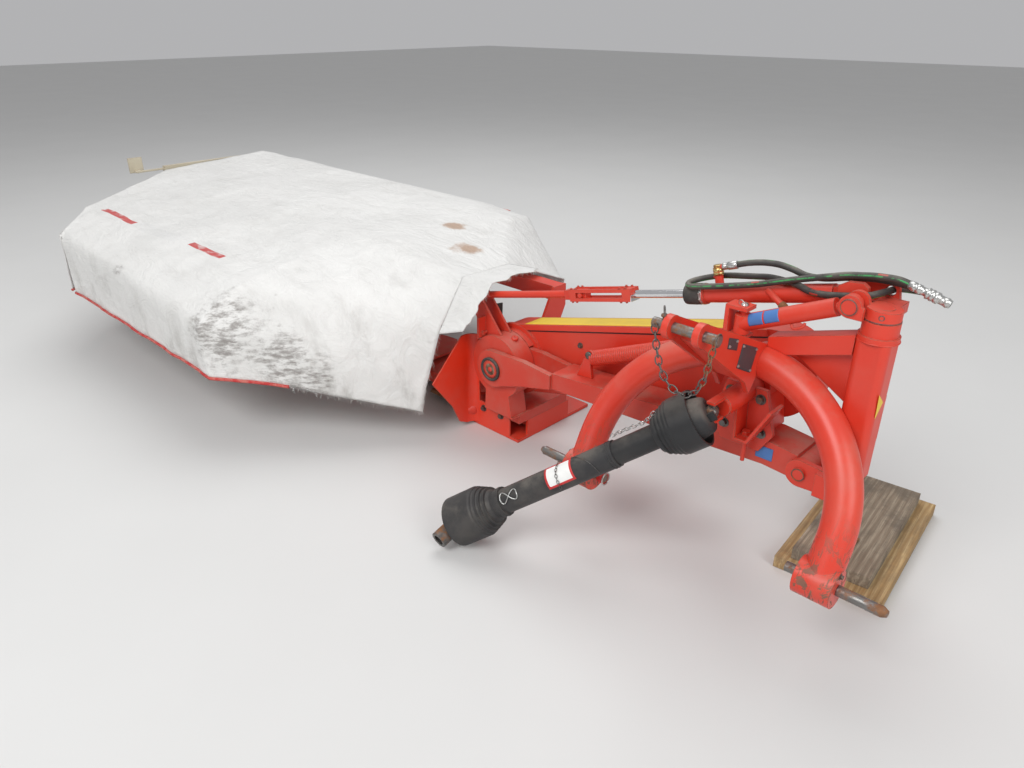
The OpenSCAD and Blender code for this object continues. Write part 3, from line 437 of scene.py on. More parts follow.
def meshObject(name, vertices, faces, smooth=True, merge=True):
    piece = bareMesh(name, vertices, faces=faces)
    piece.data.validate()
    work = bmesh.new()
    work.from_mesh(piece.data)
    if merge:
        bmesh.ops.remove_doubles(work, verts=work.verts, dist=1e-6)
    bmesh.ops.recalc_face_normals(work, faces=work.faces)
    work.to_mesh(piece.data)
    work.free()
    smoothShade(piece.data, smooth)
    return piece


def axes(direction):  # two directions square to the given one, and the given one
    w = Vector(direction).normalized()
    u = w.cross(Vector((0, 0, 1)))
    if u.length < 1e-4:
        u = Vector((1, 0, 0))
    u.normalize()
    return u, w.cross(u), w


def circle(centre, u, v, radius, sides):
    return [centre + (u * math.cos(a) + v * math.sin(a)) * radius for a in around(sides)]


def ringFaces(count, sides, closed=False):  # skin over rings of vertices, with caps where it is open
    faces = []
    for i in range(count if closed else count - 1):
        near, far = i * sides, (i + 1) % count * sides
        for k in range(sides):
            after = (k + 1) % sides
            faces.append((near + k, near + after, far + after, far + k))
    if not closed:
        faces += [tuple(reversed(range(sides))), tuple(range((count - 1) * sides, count * sides))]
    return faces


def gridFaces(rows, columns):  # quads over a grid of vertices, row by row
    corners = [i * (columns + 1) + k for i in range(rows) for k in range(columns)]
    return [(a, a + 1, a + columns + 2, a + columns + 1) for a in corners]


def turned(name, body, material, start, direction, profile, sides, smooth=True):
    u, v, w = axes(direction)
    vertices = []
    for along, radius in profile:  # millimetres
        vertices += circle(start + w * along * millimetre, u, v, radius * millimetre, sides)
    piece = meshObject(name, vertices, ringFaces(len(profile), sides), smooth)
    return finishPiece(piece, material, body)


def tube(name, body, material, path, radius, sides, closed=False):
    count = len(path)
    vertices, normal = [], None
    for i, point in enumerate(path):
        if closed:
            tangent = path[(i + 1) % count] - path[i - 1]
        else:
            tangent = path[min(i + 1, count - 1)] - path[max(i - 1, 0)]
        tangent.normalize()
        if normal is None:
            normal = axes(tangent)[0]
        normal = (normal - tangent * normal.dot(tangent)).normalized()
        vertices += circle(point, normal, tangent.cross(normal), radius, sides)
    piece = meshObject(name, vertices, ringFaces(count, sides, closed))
    return finishPiece(piece, material, body)


def ring(name, body, centre, normal, radius, wire, material, sides=40):
    u, v, w = axes(normal)
    return tube(name, body, material, circle(centre, u, v, radius, sides), wire, 10, True)


def plate(name, body, material, corners, thickness, bevel=0.0):  # corners in one plane
    normal = (corners[1] - corners[0]).cross(corners[2] - corners[0]).normalized() * thickness
    piece = meshObject(name, corners + [c + normal for c in corners], ringFaces(2, len(corners)), False)
    if bevel:
        rounding = piece.modifiers.new("rounding", "BEVEL")
        rounding.width = bevel
        rounding.segments = 2
        rounding.limit_method = "ANGLE"
    return finishPiece(piece, material, body)


def thicken(piece, thickness, offset):
    wall = piece.modifiers.new("wall", "SOLIDIFY")
    wall.thickness = thickness
    wall.offset = offset


def smoothPath(points, steps=6):  # passes through every point
    path = []
    for i in range(len(points) - 1):
        a, b = points[max(i - 1, 0)], points[i]
        c, d = points[i + 1], points[min(i + 2, len(points) - 1)]
        for k in range(steps):
            t = k / steps
            path.append(0.5 * (2 * b + (c - a) * t + (2 * a - 5 * b + 4 * c - d) * t * t
                               + (3 * b - a - 3 * c + d) * t ** 3))
    return path + [points[-1]]


def lineMesh(name, path):
    return bareMesh(name, path, [(i, i + 1) for i in range(len(path) - 1)])


# Geometry Nodes
def geometryTree(name, sizes):
    tree = bpy.data.node_groups.new(name, "GeometryNodeTree")
    tree.interface.new_socket("Geometry", in_out="INPUT", socket_type="NodeSocketGeometry")
    for label, value in sizes.items():
        kind = "NodeSocketInt" if isinstance(value, int) else "NodeSocketFloat"
        tree.interface.new_socket(label, in_out="INPUT", socket_type=kind).default_value = value
    tree.interface.new_socket("Finish", in_out="INPUT", socket_type="NodeSocketMaterial")
    tree.interface.new_socket("Geometry", in_out="OUTPUT", socket_type="NodeSocketGeometry")
    return tree, addNode(tree, "NodeGroupInput").outputs, addNode(tree, "NodeGroupOutput").inputs


def vectorOf(tree, x=0.0, y=0.0, z=0.0):
    return addNode(tree, "ShaderNodeCombineXYZ", {0: x, 1: y, 2: z}).outputs[0]


def evenSteps(tree, line, distance):  # points at equal distances along a line
    curve = addNode(tree, "GeometryNodeMeshToCurve", {0: line}).outputs[0]
    steps = addNode(tree, "GeometryNodeResampleCurve", {"Curve": curve, "Length": distance},
                    mode="LENGTH")
    return steps.outputs[0]


def closeTree(tree, source, result, points, instance, **turns):  # one copy at each point, with the finish
    inputs = {"Points": points, "Instance": instance, **turns}
    placed = addNode(tree, "GeometryNodeInstanceOnPoints", inputs).outputs[0]
    real = addNode(tree, "GeometryNodeRealizeInstances", {0: placed}).outputs[0]
    painted = addNode(tree, "GeometryNodeSetMaterial", {"Geometry": real, "Material": source["Finish"]})
    feed(tree, result[0], painted.outputs[0])
    return tree


def socketId(tree, label):
    return next(s.identifier for s in tree.interface.items_tree
                if s.item_type == "SOCKET" and s.in_out == "INPUT" and s.name == label)


def applyTree(piece, tree, values, material):  # leaves a plain mesh
    modifier = piece.modifiers.new(tree.name, "NODES")
    modifier.node_group = tree
    for label, value in {**values, "Finish": material}.items():
        modifier[socketId(tree, label)] = value
    bpy.context.view_layer.update()
    mesh = bpy.data.meshes.new_from_object(piece.evaluated_get(bpy.context.evaluated_depsgraph_get()))
    piece.modifiers.clear()
    piece.data = mesh


def makeBoltTree():  # a hexagon head on a washer at each point, along the point's own direction
    tree, source, result = geometryTree("hexBolts", {
        "Head Width": 0.019, "Head Height": 0.008, "Washer Width": 0.028, "Washer Height": 0.0025})

    def drum(sides, width, height):
        return addNode(tree, "GeometryNodeMeshCylinder", {
            "Vertices": sides, "Radius": product(tree, source[width], 0.5),
            "Depth": source[height]}).outputs["Mesh"]

    lift = mathNode(tree, "MULTIPLY_ADD", source["Head Height"], 0.5, source["Washer Height"])
    head = addNode(tree, "GeometryNodeTransform", {
        "Geometry": drum(6, "Head Width", "Head Height"),
        "Translation": vectorOf(tree, z=lift)}).outputs[0]
    bolt = addNode(tree, "GeometryNodeJoinGeometry", {0: head})
    feed(tree, bolt.inputs[0], drum(20, "Washer Width", "Washer Height"))
    facing = addNode(tree, "GeometryNodeInputNamedAttribute", {"Name": "facing"}, data_type="FLOAT_VECTOR")
    way = {"Vector": facing.outputs["Attribute"]}
    align = addNode(tree, "FunctionNodeAlignEulerToVector", way, axis="Z").outputs[0]
    return closeTree(tree, source, result, source["Geometry"], bolt.outputs[0], Rotation=align)


def makeChainTree():  # oval links along a line, each one turned a quarter against the last
    tree, source, result = geometryTree("chainLinks", {
        "Pitch": 0.02, "Link Length": 0.027, "Link Width": 0.015, "Wire": 0.0035})
    tangent = addNode(tree, "GeometryNodeInputTangent").outputs[0]
    align = addNode(tree, "FunctionNodeAlignEulerToVector", {"Vector": tangent}, axis="X").outputs[0]
    odd = mathNode(tree, "MODULO", addNode(tree, "GeometryNodeInputIndex").outputs[0], 2)
    roll = vectorOf(tree, mathNode(tree, "MULTIPLY_ADD", odd, math.pi / 2, math.pi / 4))
    turn = addNode(tree, "FunctionNodeRotateEuler", {"Rotation": align, "Rotate By": roll}, space="LOCAL")

    def curve(sides, radius):
        return addNode(tree, "GeometryNodeCurvePrimitiveCircle", {
            "Resolution": sides, "Radius": radius}).outputs["Curve"]

    stretch = vectorOf(tree, source["Link Length"], source["Link Width"], 1)
    oval = addNode(tree, "GeometryNodeTransform", {
        "Geometry": curve(14, 0.5), "Scale": stretch}).outputs[0]
    wire = curve(7, product(tree, source["Wire"], 0.5))
    link = addNode(tree, "GeometryNodeCurveToMesh", {"Curve": oval, "Profile Curve": wire}).outputs[0]
    steps = evenSteps(tree, source["Geometry"], source["Pitch"])
    return closeTree(tree, source, result, steps, link, Rotation=turn.outputs[0])


def makeFrayTree(lean=0.7):  # loose threads that hang from a torn edge and lean by up to this angle
    tree, source, result = geometryTree("frayedThreads", {
        "Spacing": 0.004, "Thread Length": 0.022, "Thread Width": 0.0012, "Seed": 7})
    thread = addNode(tree, "GeometryNodeMeshCone", {
        "Vertices": 4, "Radius Bottom": 0.5, "Radius Top": 0.12, "Depth": 1.0}).outputs["Mesh"]
    seed = source["Seed"]
    angles = {"Min": (math.pi - lean, -lean, 0), "Max": (math.pi + lean, lean, fullTurn), "Seed": seed}
    tilt = addNode(tree, "FunctionNodeRandomValue", angles, data_type="FLOAT_VECTOR").outputs[0]
    shares = {2: 0.2, 3: 1.0, "Seed": seed}
    share = addNode(tree, "FunctionNodeRandomValue", shares, data_type="FLOAT").outputs[1]
    width = source["Thread Width"]
    size = vectorOf(tree, width, width, product(tree, share, source["Thread Length"]))
    steps = evenSteps(tree, source["Geometry"], source["Spacing"])
    return closeTree(tree, source, result, steps, thread, Rotation=tilt, Scale=size)


boltTree = makeBoltTree()
chainTree = makeChainTree()
frayTree = makeFrayTree()


def bolts(name, body, facing, places, size=0.019, material=darkSteel):  # places in hitch millimetres
    piece = bareMesh(name, [at(*p) for p in places])
    directions = facing if isinstance(facing, list) else [facing] * len(places)
    marks = piece.data.attributes.new("facing", "FLOAT_VECTOR", "POINT").data
    for mark, direction in zip(marks, directions):
        mark.vector = Vector(direction).normalized()
    applyTree(piece, boltTree, {"Head Width": size, "Head Height": size * 0.42,
                                "Washer Width": size * 1.45, "Washer Height": size * 0.12}, material)
    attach(piece, body)


def chain(name, body, points, pitch, wire, material):  # points in metres
    piece = lineMesh(name, smoothPath(points, 8))
    applyTree(piece, chainTree, {"Pitch": pitch, "Link Length": pitch * 1.38, "Link Width": pitch * 0.85,
                                 "Wire": wire}, material)
    smoothShade(piece.data)
    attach(piece, body)


def fray(name, path, seed, length):
    piece = lineMesh(name, path)
    applyTree(piece, frayTree, {"Seed": seed, "Thread Length": length}, threadWhite)
    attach(piece, "cutter_bar")
    return piece


def dress(material, *names):  # solids of the frame that keep their shape get a finish
    for name in names:
        slots = nodes[name].data.materials
        for i in range(len(slots)):
            slots[i] = material
        if not slots:
            slots.append(material)


dress(redPaint, "mast_bracket", "turret_post", "cross_tube", "turret_head", "swing_bracket",
      "safety_strut", "input_housing", "belt_guard", "lift_barrel", "tie_rod", "belt_spring",
      "cutter_bed", "canopy_frame", *["disc_%d" % k for k in range(1, 7)])
dress(redWorn, "gearbox", "lift_lever", "outer_shoe", "stand_sleeve")
dress(redArm, "arm_beam")
dress(rustSteel, "skids", "stand_leg")
# the inner shoe gets the lighter copy of the red paint: painted highlight
dress(redPaintLit, "inner_shoe")
dress(pinSteel, "mast_pin", "hitch_pins")
dress(darkSteel, "pto_cross", "pto_yoke")
dress(clevisPaint, "lift_rod")
dress(archRed, "arch_tube")
dress(beigePaint, "end_rail")
dress(guardPlastic, "pto_guard_front")
dress(conePlastic, "pto_guard_rear")
dress(pineBoards, "lower_boards")
dress(greyBoard, "upper_board")
print("stage: solids dressed")

# Hose and its coupler
hose = {"diameter": 0.017, "sides": 16, "stepsPerPoint": 5, "lineAt": 0.25, "markAt": 0.36,
        "marksPerMetre": 3.1}
hoseRoute = [
    (-112, 360, 880), (-80, 362, 891), (-40, 368, 899), (0, 372, 901), (40, 372, 896), (80, 366, 890),
    (130, 360, 896), (190, 359, 912), (250, 359, 922), (300, 360, 923), (335, 368, 917),
    (352, 388, 907), (346, 408, 900), (320, 417, 896), (299, 413, 895), (287, 402, 895),
    (283, 386, 895), (279, 368, 895), (275, 348, 896), (270, 330, 896), (260, 314, 894),
    (240, 309, 889), (190, 312, 877), (150, 316, 869), (110, 324, 866), (75, 337, 870), (40, 350, 869),
    (-20, 372, 862), (-60, 377, 854), (-100, 380, 846), (-160, 388, 832), (-205, 385, 818),
    (-238, 369, 806), (-248, 348, 800), (-235, 328, 798), (-200, 320, 806), (-150, 320, 819),
    (-100, 322, 832), (-60, 324, 843), (-20, 326, 855), (50, 328, 880), (90, 329, 893), (122, 330, 903),
    (160, 331, 915), (193, 331, 925), (230, 331, 932), (261, 331, 937), (310, 330, 940),
    (345, 330, 932)]
couplerProfile = [
    (-12, 9.6), (0, 11.2), (4, 11.2), (5, 9.5), (7.5, 9.5), (8.5, 11.2), (16, 11.2), (16.5, 9.8),
    (30, 9.8), (31, 13.5), (35, 13.8), (36, 12.6), (40, 12.6), (41, 13.8), (45, 13.8), (46, 12.6),
    (50, 12.6), (51, 13.8), (58, 13.5), (60, 10.5), (74, 10.5), (75, 11.6), (80, 11.6), (82, 9.8),
    (86, 9.8), (86.5, 7), (78, 6.6)]


def hoseMaterial():  # black rubber with a thin green line and small red marks along it
    material, tree, finish, place = newMaterial("hoseRubber")
    way = parted(tree, addNode(tree, "ShaderNodeAttribute", attribute_name="hoseWay").outputs["Vector"])
    line = mathNode(tree, "COMPARE", way["X"], hose["lineAt"], 0.035)
    worn = cloud(tree, place, 0.42, 0.55, 45.0, 5.0)
    step = mathNode(tree, "FRACT", product(tree, way["Y"], hose["marksPerMetre"]))
    marks = mathNode(tree, "COMPARE", step, 0.5, 0.035)
    band = mathNode(tree, "COMPARE", way["X"], hose["markAt"], 0.05)
    base = mixColour(tree, noiseAt(tree, place, 26.0, 6.0), (0.013, 0.013, 0.014), (0.045, 0.043, 0.04))
    base = mixColour(tree, product(tree, line, worn), base, (0.03, 0.30, 0.08))
    base = mixColour(tree, product(tree, marks, band), base, (0.45, 0.03, 0.02))
    dirt = useGroup(tree, settledDust, Vector=place, Amount=0.5)["Mask"]
    feed(tree, finish["Base Color"], mixColour(tree, dirt, base, (0.30, 0.27, 0.22)))
    finish["Roughness"].default_value = 0.55
    setBump(tree, finish, noiseAt(tree, place, 260.0, 3.0), 0.25, 0.0005)
    return material


def makeHose():
    sides = hose["sides"]
    path = smoothPath([at(*p) for p in hoseRoute], hose["stepsPerPoint"])
    piece = tube("hydraulicHose", "swing_frame", hoseMaterial(), path, hose["diameter"] / 2, sides)
    way = piece.data.attributes.new("hoseWay", "FLOAT_VECTOR", "POINT").data
    length = 0.0
    for i, point in enumerate(path):
        length += (point - path[i - 1]).length if i else 0
        for k in range(sides):
            way[i * sides + k].vector = (min(k / sides, 1 - k / sides), length, 0)
    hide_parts("hydraulic_hose")
    print("hose length", round(length, 4))
    coupler = turned("quickCoupler", "swing_frame", zincSteel, path[-1], path[-1] - path[-2],
                     couplerProfile, 32)
    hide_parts("hose_coupler")
    tuple(path[0])
    [tuple(p) for p in path]


makeHose()
print("stage: hose")

# Canopy: four sections across it, from the inner edge outwards, in hitch millimetres
canopySections = [
    [(-1180, 95, 130), (-1178, 110, 210), (-1176, 190, 430), (-1190, 330, 615), (-1210, 600, 600),
     (-1225, 960, 450), (-1230, 980, 310)],
    [(-1530, -250, 240), (-1545, -240, 400), (-1560, -80, 560), (-1580, 350, 655), (-1600, 1000, 660),
     (-1620, 1170, 625), (-1600, 1175, 340)],
    [(-1760, -440, 265), (-1780, -450, 480), (-1800, -250, 585), (-1850, 350, 665), (-1900, 1050, 675),
     (-1900, 1180, 640), (-1900, 1180, 340)],
    [(-3130, -440, 270), (-3140, -450, 560), (-3340, -240, 625), (-3860, 400, 655), (-3880, 1050, 690),
     (-3890, 1180, 650), (-3890, 1180, 350)]]
endHem = [285, 300, 400, 400, 350]  # height of the end sheet's hem below each inner point
hoopPlaces = (-1840, -2480, -3060)
canopy = {"square": 17, "fewestSquares": 4, "softenRounds": 7, "sag": 10, "wrinkle": 5.5,
          "skirtWave": 5.5, "endRows": 16, "endBulge": 3, "highest": 5.0, "lowest": -14, "held": 12.8,
          "inset": 0.0055, "rails": [(1136, 130), (-420, 110)], "hoopReach": 100, "thickness": 0.0026,
          "piping": 0.0065, "thread": 0.026}


def clothMaterial():
    material, tree, finish, place = newMaterial("tarpaulin")
    height = parted(tree, place)["Z"]

    def spot(x, y, z, radius):  # soft round patch about a place, with a broken rim
        away = addNode(tree, "ShaderNodeVectorMath", {0: place, 1: at(x, y, z)}, operation="DISTANCE")
        broken = less(tree, noiseAt(tree, place, 14.0, 8.0, 0.7), 0.5)
        reach = plus(tree, away.outputs["Value"], product(tree, broken, radius * 2))
        return ramp(tree, reach, radius, radius * 0.4)

    def stripe(x, y, halfLength, halfWidth, angle=2):  # straight stripe on the top
        centre = at(x, y, 600)
        turn = {"Vector": place, "Center": centre, "Angle": -math.radians(angle)}
        way = parted(tree, addNode(tree, "ShaderNodeVectorRotate", turn, rotation_type="Z_AXIS").outputs[0])
        return product(tree, mathNode(tree, "COMPARE", way["X"], centre.x, halfLength),
                       mathNode(tree, "COMPARE", way["Y"], centre.y, halfWidth),
                       mathNode(tree, "GREATER_THAN", height, 0.5))

    greyCloud = cloud(tree, stretched(tree, place, (5, 9, 3)), 0.48, 0.74, 1.2, 9.0, 0.68)
    # the grey cloud is laid on more strongly low on the canopy, so the cloth grows darker towards the
    # bottom
    low = ramp(tree, height, 0.52, 0.24)
    scuffs = useGroup(tree, bareSpots, Vector=stretched(tree, place, (0.9, 0.9, 1.5)),
                      Amount=0.36)["Mask"]
    worn = largest(tree, spot(-1700, -400, 470, 0.20), spot(-1560, -260, 330, 0.16),
                   spot(-1470, -190, 270, 0.12), spot(-2520, -445, 540, 0.05),
                   spot(-1850, -450, 560, 0.05))
    streaks = cloud(tree, stretched(tree, place, (9, 9, 30)), 0.40, 0.62, 2.0, 8.0, 0.7)
    rust = largest(tree, spot(-1637, 700, 655, 0.06), spot(-1402, 564, 630, 0.075))
    stripes = largest(tree, stripe(-3062, -190, 0.165, 0.016), stripe(-2260, -146, 0.13, 0.016))
    base = mixColour(tree, cloud(tree, place, 0.3, 0.7, 1.7, 5.0, 0.6), (0.78, 0.775, 0.755),
                     (0.70, 0.695, 0.675))
    layers = [  # share of each layer and its colour, from the cloth upwards
        (product(tree, greyCloud, plus(tree, product(tree, low, 0.4), 0.22)), (0.30, 0.285, 0.26)),
        (product(tree, scuffs, 0.55), (0.20, 0.20, 0.20)),
        (product(tree, worn, streaks, 0.85), (0.22, 0.20, 0.185)),
        (product(tree, rust, 0.75), (0.36, 0.17, 0.06)),
        (product(tree, stripes, cloud(tree, place, 0.3, 0.5, 22.0, 6.0)), (0.52, 0.05, 0.045)),
        (product(tree, stripe(-2675, -168, 0.20, 0.035), 0.10), (0.45, 0.46, 0.48))]
    for share, colour in layers:
        base = mixColour(tree, share, base, colour)
    feed(tree, finish["Base Color"], base)
    feed(tree, finish["Roughness"], plus(tree, 0.40, product(tree, greyCloud, 0.3)))
    finish["Sheen Weight"].default_value = 0.12
    weave = plus(tree, bands(tree, place, "X", scale=190.0), bands(tree, place, "Y", scale=190.0))
    crease = noiseAt(tree, stretched(tree, place, (1.0, 2.2, 1.6)), 5.0, 7.0, 0.62, 1.6)
    relief = plus(tree, product(tree, crease, 6.0), product(tree, weave, 0.06))
    setBump(tree, finish, relief, 0.55, 0.0045)
    return material


def clothTrim(name, colour, other):
    material, tree, finish, place = newMaterial(name)
    worn = cloud(tree, place, 0.42, 0.62, 38.0, 7.0, 0.7)
    feed(tree, finish["Base Color"], mixColour(tree, worn, colour, other))
    finish["Roughness"].default_value = 0.7
    setBump(tree, finish, noiseAt(tree, place, 320.0, 3.0), 0.3, 0.0006)
    return material


tarpaulin = clothMaterial()
pipingRed = clothTrim("pipingRed", (0.50, 0.03, 0.03), (0.56, 0.16, 0.13))
threadWhite = clothTrim("threadWhite", (0.70, 0.70, 0.68), (0.46, 0.44, 0.40))


def squares(*pairs):  # squares of cloth that cover the longest of some distances
    longest = max((Vector(p) - Vector(q)).length for p, q in pairs)
    return max(canopy["fewestSquares"], round(longest / canopy["square"]))


rowSteps = [squares(*zip(a, b)) for a, b in zip(canopySections, canopySections[1:])]
columnSteps = [squares(pair) for pair in zip(canopySections[2], canopySections[2][1:])]


def refined(corners, steps):  # a line of points with equal steps between its corners
    line = []
    for a, b, count in zip(corners, corners[1:], steps):
        line += [a.lerp(b, k / count) for k in range(count)]
    return line + [corners[-1]]


def clothGrid():
    columns = [refined([Vector(p) for p in column], rowSteps) for column in zip(*canopySections)]
    return [refined(row, columnSteps) for row in zip(*columns)]


def softenGrid(grid, rounds):  # rounds the folds without moving the hems
    height, width = len(grid), len(grid[0])
    for _ in range(rounds):
        grid = [[p if j in (0, width - 1) or i in (0, height - 1) else
                 p * 0.5 + (grid[i][j - 1] + grid[i][j + 1]) * 0.25
                 for j, p in enumerate(row)] for i, row in enumerate(grid)]
    return grid


def clothShift(point, normal):  # how far the cloth stands out here, in millimetres
    x, y, z = point
    span = 0.0
    for a, b in zip(hoopPlaces, hoopPlaces[1:]):
        if b < x < a:
            span = math.sin(math.pi * (x - a) / (b - a))
    fold = noise.noise(Vector((x / 190 + 3.1, y / 330 + 0.4, z / 120 + 7.7)))
    ridge = 1 - abs(noise.noise(Vector((x / 120 + y / 260, y / 210 - x / 400, z / 110))) * 2.2)
    small = noise.noise(Vector((x / 55, y / 75, z / 50)))
    amount = -canopy["sag"] * span * max(normal.z, 0)
    amount += canopy["wrinkle"] * (0.9 * fold + 0.55 * (ridge - 0.7) + 0.28 * small)
    if normal.z < 0.5:  # skirts hang in soft vertical waves
        wave = math.sin(x / 58 + 1.3 * math.sin(y / 300 + x / 410))
        amount += canopy["skirtWave"] * wave * max(0, (520 - z) / 300)
    # rails and hoops hold the cloth up
    near = [1 - abs(y - rail) / reach for rail, reach in canopy["rails"]]
    near += [1 - abs(x - hoop) / canopy["hoopReach"] for hoop in hoopPlaces]
    lowest = canopy["lowest"] + canopy["held"] * min(1, 2 * max(near + [0]))
    return max(min(amount, canopy["highest"]), lowest)


def wrinkle(mesh):  # moves each point of the cloth along its normal
    mesh.update()
    if sum(p.normal.z for p in mesh.polygons) < 0:
        mesh.flip_normals()
    moved = [v.co + v.normal * (clothShift(fromHitch(v.co), v.normal) * millimetre - canopy["inset"])
             for v in mesh.vertices]
    for v, co in zip(mesh.vertices, moved):
        v.co = co
    mesh.update()


def hangEnd(grid, vertices):  # end sheet: a line of vertices down from each point of the last row
    marks, column, rows = [], columnSteps[0], canopy["endRows"]
    for a, b, steps in zip(endHem, endHem[1:], columnSteps[1:]):
        marks += [(column + s, a + (b - a) * s / steps) for s in range(steps)]
        column += steps
    sheet = []
    for column, hem in marks + [(column, endHem[-1])]:
        top = grid[-1][column]
        line = [(len(grid) - 1) * len(grid[0]) + column]
        for s in range(1, rows + 1):
            line.append(len(vertices))
            bulge = canopy["endBulge"] * math.sin(math.pi * s / rows)
            vertices.append(Vector((top.x - bulge, top.y, top.z + (hem - top.z) * s / rows)))
        sheet.append(line)
    return sheet


def makeCanopy():
    grid = softenGrid(clothGrid(), canopy["softenRounds"])
    height, width = len(grid), len(grid[0])
    vertices = [p for row in grid for p in row]
    corners = [i * width + j for i in range(height - 1) for j in range(width - 1)]
    faces = [(a, a + width, a + width + 1, a + 1) for a in corners]
    end = hangEnd(grid, vertices)
    for a, b in zip(end, end[1:]):
        faces += [(a[s], a[s + 1], b[s + 1], b[s]) for s in range(canopy["endRows"])]
    cloth = meshObject("canopyTop", [at(*v) for v in vertices], faces, merge=False)
    wrinkle(cloth.data)
    thicken(cloth, canopy["thickness"], -1)
    finishPiece(cloth, tarpaulin, "cutter_bar")
    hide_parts("canopy", "canopy_end")

    def edge(indices):
        return [cloth.data.vertices[i].co.copy() for i in indices]

    torn = rowSteps[0]  # the hems are piped from this row outwards, and torn before it
    hems = {"frontPiping": [i * width for i in range(torn, height)],
            "rearPiping": [i * width + width - 1 for i in range(torn, height)],
            "endPiping": [line[-1] for line in end]}
    for name, indices in hems.items():
        tube(name, "cutter_bar", pipingRed, edge(indices), canopy["piping"], 10)
    fray("tornHem", edge([i * width for i in range(torn + 1)]), 3, canopy["thread"])
    fray("tornLip", edge(range(round(width * 0.5))), 9, canopy["thread"])


makeCanopy()

# Loose inner lip of the canopy, creased and torn
lip = {"squaresAlong": 44, "squaresAcross": 20, "thickness": 0.0024, "drop": 5, "bend": 5, "thread": 0.02,
       "tip": [(-1044, 215, 470), (-1004, 330, 626), (-1014, 590, 620)]}


def halfway(line, t):  # place on a line of three points
    return line[0].lerp(line[1], t * 2) if t < 0.5 else line[1].lerp(line[2], t * 2 - 1)


def makeLip():
    root = [Vector(p) - Vector((2, 0, 0)) for p in canopySections[0][2:5]]
    tip = [Vector(p) for p in lip["tip"]]
    along, across = lip["squaresAlong"], lip["squaresAcross"]
    vertices = []
    for i in range(along + 1):
        t = i / along
        tear = 0.80 + 0.20 * noise.noise(Vector((t * 9, 0.3, 2.0))) if 0.05 < t < 0.95 else 0.82
        for k in range(across + 1):
            s = k / across * min(tear, 0.97)
            p = halfway(root, t).lerp(halfway(tip, t), s)
            bend = lip["bend"] * noise.noise(Vector((p.x / 60, p.y / 70, p.z / 60))) * s
            vertices.append(at(p.x, p.y, p.z - lip["drop"] + min(bend, 3)))
    flap = meshObject("canopyLip", vertices, gridFaces(along, across))
    thicken(flap, lip["thickness"], -1)
    finishPiece(flap, tarpaulin, "cutter_bar")
    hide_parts("canopy_flap")
    threads = fray("lipThreads", vertices[across::across + 1], 21, lip["thread"])
    for piece in (flap, threads):
        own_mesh(piece)


makeLip()
print("stage: canopy")


# Blank stickers and plates: a thin skin on a surface that pointAt(s, t) describes
def skin(name, body, material, pointAt, border=0.0, columns=14, rows=10, thickness=0.0006):
    steps = [(k / columns, i / rows) for i in range(rows + 1) for k in range(columns + 1)]
    piece = meshObject(name, [pointAt(s, t) for s, t in steps], gridFaces(rows, columns), merge=False)
    marks = piece.data.attributes.new("borderMask", "FLOAT", "POINT").data
    for mark, (s, t) in zip(marks, steps):
        mark.value = 1.0 if min(s, t, 1 - s, 1 - t) < border else 0.0
    thicken(piece, thickness, 0)
    finishPiece(piece, material, body)


def flatSkin(name, body, material, corners, **sizes):  # four corners in hitch millimetres, in order
    a, b, c, d = [at(*p) for p in corners]
    skin(name, body, material, lambda s, t: a.lerp(b, s).lerp(d.lerp(c, s), t), **sizes)


def onTube(start, direction, along, angle, radius):  # metres along, degrees from the side that is seen
    way = Vector(direction).normalized()
    seen = Vector((0.45, -0.75, 0.5))
    seen = (seen - way * seen.dot(way)).normalized()
    a = math.radians(angle)
    return start + way * along + (seen * math.cos(a) + way.cross(seen) * math.sin(a)) * radius


def roundSkin(name, body, material, start, direction, radius, reach, angles, **sizes):
    def pointAt(s, t):
        along = reach[0] + (reach[1] - reach[0]) * s
        angle = angles[0] + (angles[1] - angles[0]) * t
        return onTube(start, direction, along, angle, radius)

    skin(name, body, material, pointAt, **sizes)


# Headstock and turret
across = (0, 1, 0)
front = (0, -1, 0)
upright = (0, 0, 1)
strutLow = at(-30, 270, 758)
strutWay = at(243, 270, 880) - strutLow
for label, shares in (("blankBlueLow", (0.10, 0.235)), ("blankBlueHigh", (0.25, 0.385))):
    reach = [strutWay.length * s for s in shares]
    roundSkin(label, "strut", blueFilm, strutLow, strutWay, 0.0234, reach, (-52, 40))
flatSkin("armBlueBlank", "arm", blueFilm,
         [(48, 299.4, 371), (98, 299.4, 371), (98, 299.4, 409), (48, 299.4, 409)])
darkPlates = {"smallDarkPlate": [(52, 774), (100, 755), (103, 784), (55, 802)],
              "largeDarkPlate": [(112, 704), (188, 666), (212, 728), (130, 764)]}
for label, corners in darkPlates.items():
    flatSkin(label, "headstock", darkPlate, [(48.9, y, z) for y, z in corners], thickness=0.0012)
rivetPlaces = [(60, 778), (96, 781), (118, 708), (186, 674), (206, 726), (134, 756)]
bolts("plateRivets", "headstock", (1, 0, 0), [(49.6, y, z) for y, z in rivetPlaces], 0.0055, zincSteel)
plate("postYellowBlank", "headstock", yellowFilm,
      [at(344.5, y, z) for y, z in ((262, 678), (300, 646), (268, 612))], -0.0007)
ring("strutPinSeam", "swing_frame", at(243, 235.4, 880), across, 0.0188, 0.0011, darkSteel)
ring("liftPinSeam", "swing_frame", at(186, 271.4, 380), across, 0.0168, 0.0016, darkSteel)
ring("neckSeam", "headstock", at(303, 297, 801), upright, 0.0478, 0.0021, redPaint)
ring("headSeam", "swing_frame", at(303, 297, 852), upright, 0.0418, 0.0012, darkSteel)
hole = Vector((0.25, -0.97, 0)).normalized()
turned("headHole", "swing_frame", darkSteel, at(303, 297, 866) + hole * 0.0405, hole,
       [(0, 6.8), (1.8, 6.8), (2.2, 5.2), (1.2, 4.8)], 24)
turned("strutPinHead", "headstock", zincSteel, at(-30, 270, 802), upright,
       [(0, 14), (3, 14), (3.2, 9.8), (10, 9.8), (12, 7.5)], 28)
